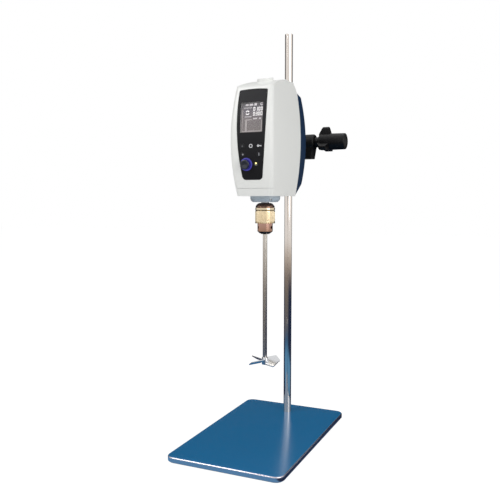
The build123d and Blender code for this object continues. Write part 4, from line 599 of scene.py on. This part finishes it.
@dataclass
class Ink:
    """Marks printed or lit on a face: strokes and rings gathered into one thin piece.

    Attributes:
        lay: turns arrays of across, height and a lift, in metres, into points on the face.
        lift: height of the ink's top over the face.
        thick: thickness of the ink.
        points: corner points gathered so far.
        faces: quads gathered so far.
    """

    lay: Callable[[np.ndarray, np.ndarray, float], np.ndarray]
    lift: float = 0.05 * MM
    thick: float = 0.03 * MM
    points: list[np.ndarray] = field(default_factory=list)
    faces: list[np.ndarray] = field(default_factory=list)

    def gather(self, across: np.ndarray, height: np.ndarray) -> None:
        """Adds sheets of quads.

        Args:
            across: array of shape (sheets, rows, columns), in millimetres, growing to the right along a row.
            height: array of the same shape, growing from row to row.
        """
        sheets, rows, columns = across.shape
        start = sum(len(p) for p in self.points)
        number = start + np.arange(sheets * rows * columns).reshape(sheets, rows, columns)
        quads = np.stack([number[:, :-1, :-1], number[:, :-1, 1:], number[:, 1:, 1:], number[:, 1:, :-1]], axis=-1)
        self.points.append(self.lay(across * MM, height * MM, self.lift).reshape(-1, 3))
        self.faces.append(quads.reshape(-1, 4))

    def strokes(self, boxes: Sequence[tuple[float, float, float, float]], at: tuple[float, float] = (0.0, 0.0)
                ) -> "Ink":
        """Adds upright rectangles: across = left + u (right - left), height = low + v (high - low).

        Args:
            boxes: left, low, right and high of each in millimetres from a place.
            at: that place, across from the face's middle and up.

        Returns:
            The ink itself.
        """
        placed = np.asarray(boxes, float) + np.array([*at, *at])
        left, low, right, high = (placed[:, k, None, None] for k in range(4))
        u, v = np.linspace(0.0, 1.0, 3)[None, None, :], np.linspace(0.0, 1.0, 7)[None, :, None]
        across = left + u * (right - left) + 0.0 * v
        self.gather(across, low + v * (high - low) + 0.0 * u)
        return self

    def ring(self, centre: tuple[float, float], inner: float, outer: float, start: float = 0.0,
             stop: float = 360.0) -> "Ink":
        """Adds a ring or an arc: a point is centre + r (cos a, sin a), with r from inner to outer.

        Args:
            centre: across and height in millimetres.
            inner: inner radius.
            outer: outer radius.
            start: first angle in degrees, anticlockwise from the right.
            stop: last angle.

        Returns:
            The ink itself.
        """
        turn = np.radians(np.linspace(start, stop, 33))[None, :, None]
        reach = np.linspace(outer, inner, 3)[None, None, :]
        across = centre[0] + reach * np.cos(turn)
        self.gather(across[..., ::-1], (centre[1] + reach * np.sin(turn))[..., ::-1])
        self.faces[-1] = self.faces[-1][:, ::-1]
        return self

    def digits(self, text: str, left: float, low: float, size: tuple[float, float], pitch: float,
               weight: float) -> "Ink":
        """Adds seven-segment numerals, each segment a rectangle of the figure's box.

        Args:
            text: the figures.
            left: left side of the first one in millimetres.
            low: foot of the figures.
            size: width and height of one.
            pitch: distance from one to the next.
            weight: width of a segment.

        Returns:
            The ink itself.
        """
        wide, tall = size
        half = tall / 2
        segments = {"a": (0, tall - weight, wide, tall), "g": (0, half - weight / 2, wide, half + weight / 2),
                    "d": (0, 0, wide, weight), "f": (0, half, weight, tall), "b": (wide - weight, half, wide, tall),
                    "e": (0, 0, weight, half), "c": (wide - weight, 0, wide, half)}
        shapes = {"0": "abcdef", "1": "bc", "2": "abged", "3": "abgcd", "4": "fgbc", "5": "afgcd", "6": "afgecd",
                  "7": "abc", "8": "abcdefg", "9": "abcdfg"}
        boxes = [(left + place * pitch + x0, low + z0, left + place * pitch + x1, low + z1)
                 for place, figure in enumerate(text) for x0, z0, x1, z1 in (segments[k] for k in shapes[figure])]
        return self.strokes(boxes)

    def piece(self, name: str, finish: Skin, body: str) -> None:
        """Makes the gathered marks into one piece with the ink's thickness.

        Args:
            name: piece name.
            finish: its material.
            body: body that it rides on.
        """
        made = face_mesh(name, np.concatenate(self.points), np.concatenate(self.faces), finish, body)
        wall = made.modifiers.new("ink thickness", "SOLIDIFY")
        wall.thickness, wall.offset = self.thick, -1.0


@dataclass
class Stand:
    """Plate, column, boss head and clamp knobs.

    Attributes:
        dresser: dresses the solids.
    """

    dresser: NodeDresser

    def build(self) -> None:
        """Dresses the stand's solids."""
        self.dresser.dress("base_plate", PLATE_COAT)
        self.dresser.dress("boss_head", CLAMP_ENAMEL, edge_mm=0.5)
        self.dresser.dress_all({
            "base_mat": MAT_RUBBER, "column": COLUMN_CHROME, "column_screw": TURNED_STEEL,
            "rod_clamp_screw": TURNED_STEEL, "rod_clamp_pad": PAD_BRASS, "rod_clamp_knob": KNOB_NYLON,
            "column_clamp_screw": TURNED_STEEL, "column_clamp_pad": PAD_BRASS, "column_clamp_knob": KNOB_NYLON,
            "support_rod": ROD_STAINLESS})


@dataclass
class Display:
    """Lit picture behind the window; places are across from the panel's middle and up, in millimetres.

    Attributes:
        lay: turns arrays of across, height and a lift into points on the front.
        lift: height of the lit marks over the front, below zero as they lie behind the window.
        film_back: depth of the lit film behind the marks.
        film: left, low, right and high of the film.
        rows: figures of each row, with their foot.
        figures_left: left side of the rows.
        figure: width and height of a figure.
        pitch: distance from one figure to the next.
        weight: width of a figure's segment.
        turning: place of the two arcs that stand for the spinning tool.
        turning_radii: inner and outer radius of the arcs.
        turning_arcs: first and last angle of each arc in degrees.
        signs: words and units, drawn as bars.
        power: place of the broken ring at the top right.
        power_radii: its inner and outer radius.
        power_arc: its first and last angle.
        frame_bars: bars round the curve's field.
    """

    lay: Callable[[np.ndarray, np.ndarray, float], np.ndarray]
    lift: float
    film_back: float = 0.1 * MM
    film: tuple[float, float, float, float] = (-20.4, 571.9, 20.4, 622.7)
    rows: tuple[tuple[str, float], ...] = (("0100", 608.3), ("0300", 600.1))
    figures_left: float = 1.7
    figure: tuple[float, float] = (3.4, 6.3)
    pitch: float = 4.5
    weight: float = 1.0
    turning: tuple[float, float] = (-8.8, 605.6)
    turning_radii: tuple[float, float] = (2.1, 3.8)
    turning_arcs: tuple[tuple[float, float], ...] = ((25.0, 155.0), (205.0, 335.0))
    signs: tuple[tuple[float, float, float, float], ...] = (
        (-13.1, 617.4, -7.9, 620.2), (-6.0, 617.4, 0.4, 620.6), (2.8, 617.2, 7.4, 621.4), (-15.8, 613.2, -0.8, 614.2),
        (-13.4, 598.0, -1.0, 599.2), (1.9, 593.9, 9.4, 596.3), (12.9, 593.9, 16.8, 596.3), (16.6, 617.0, 17.6, 619.4))
    power: tuple[float, float] = (16.4, 619.4)
    power_radii: tuple[float, float] = (1.4, 2.6)
    power_arc: tuple[float, float] = (40.0, 320.0)
    frame_bars: tuple[tuple[float, float, float, float], ...] = (
        (-12.2, 574.8, -9.2, 594.2), (-18.6, 573.2, 18.6, 574.8), (17.2, 574.8, 18.6, 592.6),
        (-18.6, 574.8, -17.4, 612.0), (-9.2, 592.6, -0.5, 594.2))

    def build(self) -> None:
        """Makes the film, the figures, the signs and the frame."""
        Ink(self.lay, self.lift - self.film_back).strokes([self.film]).piece("display_film", DISPLAY_GREY, "head")
        ink = Ink(self.lay, self.lift)
        for text, foot in self.rows:
            ink.digits(text, self.figures_left, foot, self.figure, self.pitch, self.weight)
        for arc in self.turning_arcs:
            ink.ring(self.turning, *self.turning_radii, *arc)
        ink.piece("display_figures", DISPLAY_INK, "head")
        ink = Ink(self.lay, self.lift).strokes(self.signs).ring(self.power, *self.power_radii, *self.power_arc)
        ink.piece("display_signs", DISPLAY_SIGN, "head")
        Ink(self.lay, self.lift).strokes(self.frame_bars).piece("display_frame", DISPLAY_LINE, "head")


@dataclass
class DriveHead:
    """Casing, control panel and the works inside it.

    Attributes:
        dresser: dresses the solids.
        front: the face that the panel follows.
        keys: places of the key tops, across from the panel's middle and up, in millimetres.
        lamp: place of the lamp.
        key_proud: height of the key tops over the front.
        panel_proud: height of the panel over the front.
        window_back: depth of the window's back below the front.
        ink_proud: height of the print over what it lies on.
        display_gap: distance from the window's back to the lit marks.
    """

    dresser: NodeDresser
    front: FrontFace = field(default_factory=FrontFace)
    keys: tuple[tuple[float, float], ...] = ((-15.7, 549.0), (0.0, 549.0), (15.7, 549.0), (-15.2, 535.0),
                                             (14.6, 535.0))
    lamp: tuple[float, float] = (8.4, 520.0)
    key_proud: float = 0.8 * MM
    panel_proud: float = 0.4 * MM
    window_back: float = 2.2 * MM
    ink_proud: float = 0.06 * MM
    display_gap: float = 0.1 * MM

    def build(self) -> None:
        """Dresses the casing and the inner pieces, then prints the panel."""
        self.dresser.dress_all({
            "main_housing": SHELL_ABS, "front_fascia": SHELL_ABS, "top_cap": SHELL_ABS, "rear_cover": COVER_ABS,
            "rear_cover_screws": TURNED_STEEL, "front_panel": PANEL_FILM, "display_window": WINDOW,
            "display_module": DISPLAY_GREY, "key_mat": MAT_RUBBER, "light_ring": RING_GLOW,
            "setting_knob": DIAL_CAP_WITH_PAINTED_RING_LIGHT, "encoder_shaft": TURNED_STEEL, "encoder_body": BOARD_GREEN,
            "status_lamp": LAMP_GLOW, "control_board": BOARD_GREEN, "drive_frame": CAST_ALUMINIUM,
            "bearing_outer_rings": TURNED_STEEL, "bearing_inner_rings": TURNED_STEEL, "bearing_balls": TURNED_STEEL,
            "spindle": TURNED_STEEL, "spindle_pulley": CAST_ALUMINIUM, "motor_pulley": CAST_ALUMINIUM,
            "drive_belt": BELT_RUBBER, "motor_body": MOTOR_STEEL, "motor_rotor": MOTOR_STEEL,
            "inner_screws": TURNED_STEEL, "shaft_seal": BELT_RUBBER, "spindle_collar": COLLAR_PAINT,
            "collar_screws": TURNED_STEEL, "rod_socket": CAST_ALUMINIUM, "rod_set_screw": TURNED_STEEL,
            "power_board": BOARD_GREEN, "power_inlet": INLET_NYLON, "switch_frame": INLET_NYLON,
            "switch_rocker": INLET_NYLON})
        for number in range(1, len(self.keys) + 1):
            self.dresser.dress(f"panel_key_{number}", KEY_FILM)
        Display(self.front.points, -self.window_back - self.display_gap).build()
        self.print_keys()

    def print_keys(self) -> None:
        """Prints a sign on each key and the arc below the lamp; sizes are in millimetres from the key's middle."""
        face, top = self.front.points, self.key_proud + self.ink_proud
        one, two, three, four, five = self.keys
        pin = (three[0] - 2.2, three[1])
        signs = ((Ink(face, top).strokes([(-1.3, -1.1, 1.3, 1.2)], one), FAINT_PRINT),
                 (Ink(face, top).ring(two, 2.1, 3.25), WHITE_PRINT),
                 (Ink(face, top).ring(pin, 0.7, 1.9).strokes([(-0.6, -0.55, 4.0, 0.55), (2.6, -1.6, 3.5, -0.4)], three),
                  WHITE_PRINT),
                 (Ink(face, top).ring(four, 0.3, 1.5), PALE_PRINT),
                 (Ink(face, top).strokes([(-0.8, -2.4, 0.8, 2.4)], five), PALE_PRINT))
        for number, (ink, finish) in enumerate(signs, 1):
            ink.piece(f"key_{number}_sign", finish, f"key_{number}")
        arc = Ink(face, self.panel_proud + self.ink_proud).ring(self.lamp, 2.9, 3.6, 215.0, 325.0)
        arc.piece("lamp_arc", PALE_PRINT, "head")


@dataclass
class Chuck:
    """Keyed three-jaw chuck, the shaft it holds and the impeller.

    Attributes:
        dresser: dresses the solids.
    """

    dresser: NodeDresser

    def build(self) -> None:
        """Dresses the chuck, shaft and impeller."""
        self.dresser.dress_all({
            "chuck_body": CHUCK_STEEL_WITH_PAINTED_SHADE, "chuck_sleeve": SLEEVE_STEEL_WITH_PAINTED_SHADE, "chuck_nut": TURNED_STEEL,
            "stirring_shaft": GROUND_STAINLESS, "impeller": BLADE_STEEL})
        for number in range(1, 4):
            self.dresser.dress(f"chuck_jaw_{number}", JAW_STEEL)


# ---------------------------------------------------------------- studio
@dataclass
class SoftBox:
    """A square area light that looks at a point.

    Attributes:
        name: light name.
        place: where it hangs.
        target: what it looks at.
        side: length of its side in metres.
        watts: its power.
    """

    name: str
    place: tuple[float, float, float]
    target: tuple[float, float, float]
    side: float
    watts: float

    def build(self) -> None:
        """Hangs the light."""
        data = bpy.data.lights.new(self.name, "AREA")
        data.shape, data.size, data.energy = "SQUARE", self.side, self.watts
        lamp = add_object(self.name, data)
        lamp.location = self.place
        away = np.array(self.target) - np.array(self.place)
        flat = math.hypot(away[0], away[1])
        lamp.rotation_euler = (math.atan2(flat, -away[2]), 0.0, math.atan2(-away[0], away[1]))


@dataclass
class Flag:
    """A dark upright card beside the stirrer that only polished metal sees, to give its sides a dark edge.

    Attributes:
        name: card name.
        place: its middle.
        size: its width and height.
        turn: degrees that its width is turned from X about the upright.
    """

    name: str
    place: tuple[float, float, float]
    size: tuple[float, float]
    turn: float

    def build(self) -> None:
        """Stands the card up: corners are middle +- half width along the turned direction, +- half height."""
        made = bpy.data.materials.get("dark card") or bpy.data.materials.new("dark card")
        made.use_nodes = True
        shader = made.node_tree.nodes["Principled BSDF"]
        shader.inputs["Base Color"].default_value = grey(0.01)
        shader.inputs["Roughness"].default_value = 1.0
        shader.inputs["Specular IOR Level"].default_value = 0.0
        along = np.array([math.cos(math.radians(self.turn)), math.sin(math.radians(self.turn)), 0.0])
        half = along * self.size[0] / 2
        rise = np.array([0.0, 0.0, self.size[1] / 2])
        signs = np.array([(-1, -1), (1, -1), (1, 1), (-1, 1)], float)
        corners = np.array(self.place) + signs[:, :1] * half + signs[:, 1:] * rise
        card = stage_sheet(self.name, corners, made)
        card.visible_camera = card.visible_diffuse = card.visible_shadow = False


@dataclass
class Studio:
    """White backdrop, pale floor, soft boxes and the camera.

    Attributes:
        boxes: the lights.
        flags: the dark cards.
        eye: place of the camera.
        yaw: degrees that it is turned to the left of +Y.
        pitch: degrees that it looks up.
        lens: focal length in millimetres.
        sensor: width of the sensor in millimetres.
        ambient: strength of the light from all round.
        wall_bands: places up the rear wall, from straight down at 0 to straight up at 1, with their linear level.
        floor_half: half the floor's width in metres.
        floor_pale: linear level of the floor under light.
        floor_white: strength of the white that the camera sees in the floor, and its share.
        floor_reflection_tones: distances from the middle in metres with the painted reflection that gloss sees there.
        navy: colour of the painted reflection that gloss sees behind and right of the stand.
        side_span: cosines between which the floor turns navy towards the back and the right.
        clear_of: distances between which the right side's navy starts, clear of the stand.
        navy_end: distances between which the navy ends, far one first.
        strip_span: X between which a navy strip of painted reflection lies along the plate's right side.
        strip_levels: places in that span with the strip's share of navy.
    """

    boxes: list[SoftBox] = field(default_factory=lambda: [
        SoftBox("key box", (-1.1, -1.5, 1.7), (0.0, 0.0, 0.4), 0.8, 15.0),
        SoftBox("fill box", (1.7, -0.9, 1.0), (0.0, 0.0, 0.4), 1.3, 13.5),
        SoftBox("top box", (0.1, 0.3, 2.2), (0.0, 0.0, 0.4), 1.2, 6.5)])
    flags: list[Flag] = field(default_factory=lambda: [
        Flag("left flag", (-1.50, 0.60, 0.50), (0.8, 1.1), 68.0),
        Flag("right flag", (0.30, 1.60, 0.50), (1.2, 1.1), 169.0)])
    eye: tuple[float, float, float] = (0.4766, -1.1121, 0.4600)
    yaw: float = 24.348
    pitch: float = -4.549
    lens: float = 46.16
    sensor: float = 36.0
    ambient: float = 0.48
    wall_bands: tuple[tuple[float, float], ...] = ((0.45, 1.0), (0.54, 1.0), (0.57, 0.03), (0.74, 0.03), (0.82, 1.0),
                                                   (1.0, 1.0))
    floor_half: float = 7.0
    floor_pale: float = 0.86
    floor_white: tuple[float, float] = (1.2, 0.75)
    # The tones that gloss sees in the floor are painted reflections, set for what the column and the plate's edges
    # mirror.
    floor_reflection_tones: tuple[tuple[float, str], ...] = (
        (0.0, "#6FA6CF"), (0.45, "#5E98C6"), (0.62, "#3E668F"), (0.85, "#696B73"), (1.6, "#7B7671"),
        (2.0, "#847C76"), (2.6, "#9A9089"), (3.4, "#C2B8AF"), (4.2, "#DCD4CC"), (5.4, "#FFFFFF"))
    navy: str = "#26324E"
    side_span: tuple[float, float] = (0.1, 0.5)
    clear_of: tuple[float, float] = (0.45, 0.6)
    navy_end: tuple[float, float] = (2.8, 1.8)
    strip_span: tuple[float, float] = (0.1, 0.2)
    strip_levels: tuple[tuple[float, float], ...] = ((0.1, 0.0), (0.13, 1.0), (0.45, 1.0), (0.6, 0.0))

    def forward(self) -> tuple[float, float, float]:
        """The level direction from the set's front to its back."""
        return -math.sin(math.radians(self.yaw)), math.cos(math.radians(self.yaw)), 0.0

    def aside(self) -> tuple[float, float, float]:
        """The level direction from the set's left to its right."""
        return math.cos(math.radians(self.yaw)), math.sin(math.radians(self.yaw)), 0.0

    def world(self) -> None:
        """Lights from all round, shows white to the camera, and shows gloss a white studio with a dim rear wall."""
        world = bpy.data.worlds.new("studio")
        bpy.context.scene.world = world
        world.use_nodes = True
        tree = world.node_tree
        tree.nodes.clear()
        path = add_node(tree, "ShaderNodeLightPath").outputs
        seen = add_node(tree, "ShaderNodeMath", {"operation": "MAXIMUM"},
                        {0: path["Is Camera Ray"], 1: path["Is Glossy Ray"]}).outputs[0]
        seen = add_node(tree, "ShaderNodeMath", {"operation": "MAXIMUM"},
                        {0: seen, 1: path["Is Transmission Ray"]}).outputs[0]
        soft = add_node(tree, "ShaderNodeBackground", {"Color": grey(1.0), "Strength": self.ambient}).outputs[0]
        white = add_node(tree, "ShaderNodeBackground", {"Color": grey(1.0), "Strength": 1.0}).outputs[0]
        way = add_node(tree, "ShaderNodeTexCoord").outputs["Generated"]
        rise = add_node(tree, "ShaderNodeSeparateXYZ", links={0: way}).outputs["Z"]
        rise = add_node(tree, "ShaderNodeMapRange", {"From Min": -1.0, "From Max": 1.0}, {"Value": rise}).outputs[0]
        back = add_node(tree, "ShaderNodeValToRGB", links={0: rise},
                        stops=[(at, grey(level)) for at, level in self.wall_bands]).outputs[0]
        behind = add_node(tree, "ShaderNodeVectorMath", {"operation": "DOT_PRODUCT", 1: self.forward()},
                          {0: way}).outputs["Value"]
        behind = add_node(tree, "ShaderNodeMapRange", {"From Min": 0.0, "From Max": 0.5}, {"Value": behind}).outputs[0]
        room = add_node(tree, "ShaderNodeMix", {"data_type": "RGBA", 6: grey(1.0)}, {"Factor": behind, 7: back})
        walls = add_node(tree, "ShaderNodeBackground", {"Strength": 1.0}, {"Color": room.outputs[2]}).outputs[0]
        bright = add_node(tree, "ShaderNodeMixShader",
                          links={0: path["Is Glossy Ray"], 1: white, 2: walls}).outputs[0]
        mix = add_node(tree, "ShaderNodeMixShader", links={0: seen, 1: soft, 2: bright}).outputs[0]
        add_node(tree, "ShaderNodeOutputWorld", links={0: mix})

    def navy_share(self, tree: bpy.types.NodeTree, place: bpy.types.NodeSocket, reach: bpy.types.NodeSocket
                   ) -> bpy.types.NodeSocket:
        """Works out where gloss sees the floor's painted reflection navy: the larger of back and right, up to its end,
        and a strip.

        Args:
            tree: the floor's nodes.
            place: Object coordinates.
            reach: distance from the middle.

        Returns:
            A share from 0 to 1.
        """
        way = add_node(tree, "ShaderNodeVectorMath", {"operation": "NORMALIZE"}, {0: place}).outputs["Vector"]
        rear, right = (add_node(tree, "ShaderNodeVectorMath", {"operation": "DOT_PRODUCT", 1: side},
                                {0: way}).outputs["Value"] for side in (self.forward(), self.aside()))
        across = add_node(tree, "ShaderNodeSeparateXYZ", links={0: place}).outputs["X"]
        rear, right, past, near, strip = (
            add_node(tree, "ShaderNodeMapRange", {"From Min": start, "From Max": stop}, {"Value": value}).outputs[0]
            for value, (start, stop) in ((rear, self.side_span), (right, self.side_span), (reach, self.clear_of),
                                         (reach, self.navy_end), (across, self.strip_span)))
        right = add_node(tree, "ShaderNodeMath", {"operation": "MULTIPLY"}, {0: right, 1: past}).outputs[0]
        dark = add_node(tree, "ShaderNodeMath", {"operation": "MAXIMUM"}, {0: rear, 1: right}).outputs[0]
        dark = add_node(tree, "ShaderNodeMath", {"operation": "MULTIPLY"}, {0: dark, 1: near}).outputs[0]
        strip = add_node(tree, "ShaderNodeValToRGB", links={0: strip},
                         stops=[(at, grey(level)) for at, level in self.strip_levels]).outputs[0]
        return add_node(tree, "ShaderNodeMath", {"operation": "MAXIMUM"}, {0: dark, 1: strip}).outputs[0]

    def floor(self) -> None:
        """Lays a pale floor that keeps the shadow; gloss sees painted reflections in it, blue near by, navy at the back
        and pale far off.
        """
        made = bpy.data.materials.new("pale floor")
        made.use_nodes = True
        tree = made.node_tree
        tree.nodes.clear()
        path = add_node(tree, "ShaderNodeLightPath").outputs
        strength, part = self.floor_white
        lit = add_node(tree, "ShaderNodeBsdfDiffuse", {"Color": grey(self.floor_pale)}).outputs[0]
        white = add_node(tree, "ShaderNodeEmission", {"Color": grey(1.0), "Strength": strength}).outputs[0]
        share = add_node(tree, "ShaderNodeMath", {"operation": "MULTIPLY", 1: part},
                         {0: path["Is Camera Ray"]}).outputs[0]
        seen = add_node(tree, "ShaderNodeMixShader", links={0: share, 1: lit, 2: white}).outputs[0]
        place = add_node(tree, "ShaderNodeTexCoord").outputs["Object"]
        reach = add_node(tree, "ShaderNodeVectorMath", {"operation": "LENGTH"}, {0: place}).outputs["Value"]
        far = add_node(tree, "ShaderNodeMapRange", {"From Min": 0.0, "From Max": self.floor_half},
                       {"Value": reach}).outputs[0]
        tone = add_node(tree, "ShaderNodeValToRGB", links={0: far},
                        stops=[(at / self.floor_half, linear(code)) for at, code in self.floor_reflection_tones]).outputs[0]
        shade = add_node(tree, "ShaderNodeMix", {"data_type": "RGBA", 7: linear(self.navy)},
                         {"Factor": self.navy_share(tree, place, reach), 6: tone}).outputs[2]
        mirrored = add_node(tree, "ShaderNodeEmission", links={"Color": shade}).outputs[0]
        mix = add_node(tree, "ShaderNodeMixShader",
                       links={0: path["Is Glossy Ray"], 1: seen, 2: mirrored}).outputs[0]
        add_node(tree, "ShaderNodeOutputMaterial", links={0: mix})
        stage_sheet("floor", self.floor_half * np.array([(-1, -1, 0), (1, -1, 0), (1, 1, 0), (-1, 1, 0)], float), made)

    def camera(self) -> None:
        """Sets the camera in front of the stand, a little to its right and below the head."""
        data = bpy.data.cameras.new("camera")
        data.lens, data.sensor_width = self.lens, self.sensor
        camera = add_object("camera", data)
        camera.location = self.eye
        camera.rotation_euler = (math.radians(90.0 + self.pitch), 0.0, math.radians(self.yaw))
        bpy.context.scene.camera = camera

    def build(self) -> None:
        """Builds the studio."""
        bpy.context.scene.view_settings.view_transform = "Standard"
        self.world()
        self.floor()
        for item in (*self.boxes, *self.flags):
            item.build()
        self.camera()


def main() -> None:
    """Builds the stirrer's looks and the studio."""
    logging.basicConfig(level=logging.INFO, format="%(message)s")
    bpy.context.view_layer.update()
    dresser = NodeDresser()
    for part in (Stand(dresser), DriveHead(dresser), Chuck(dresser), Studio()):
        part.build()
        LOG.info("%s is built", type(part).__name__)


if __name__ == "__main__":
    main()
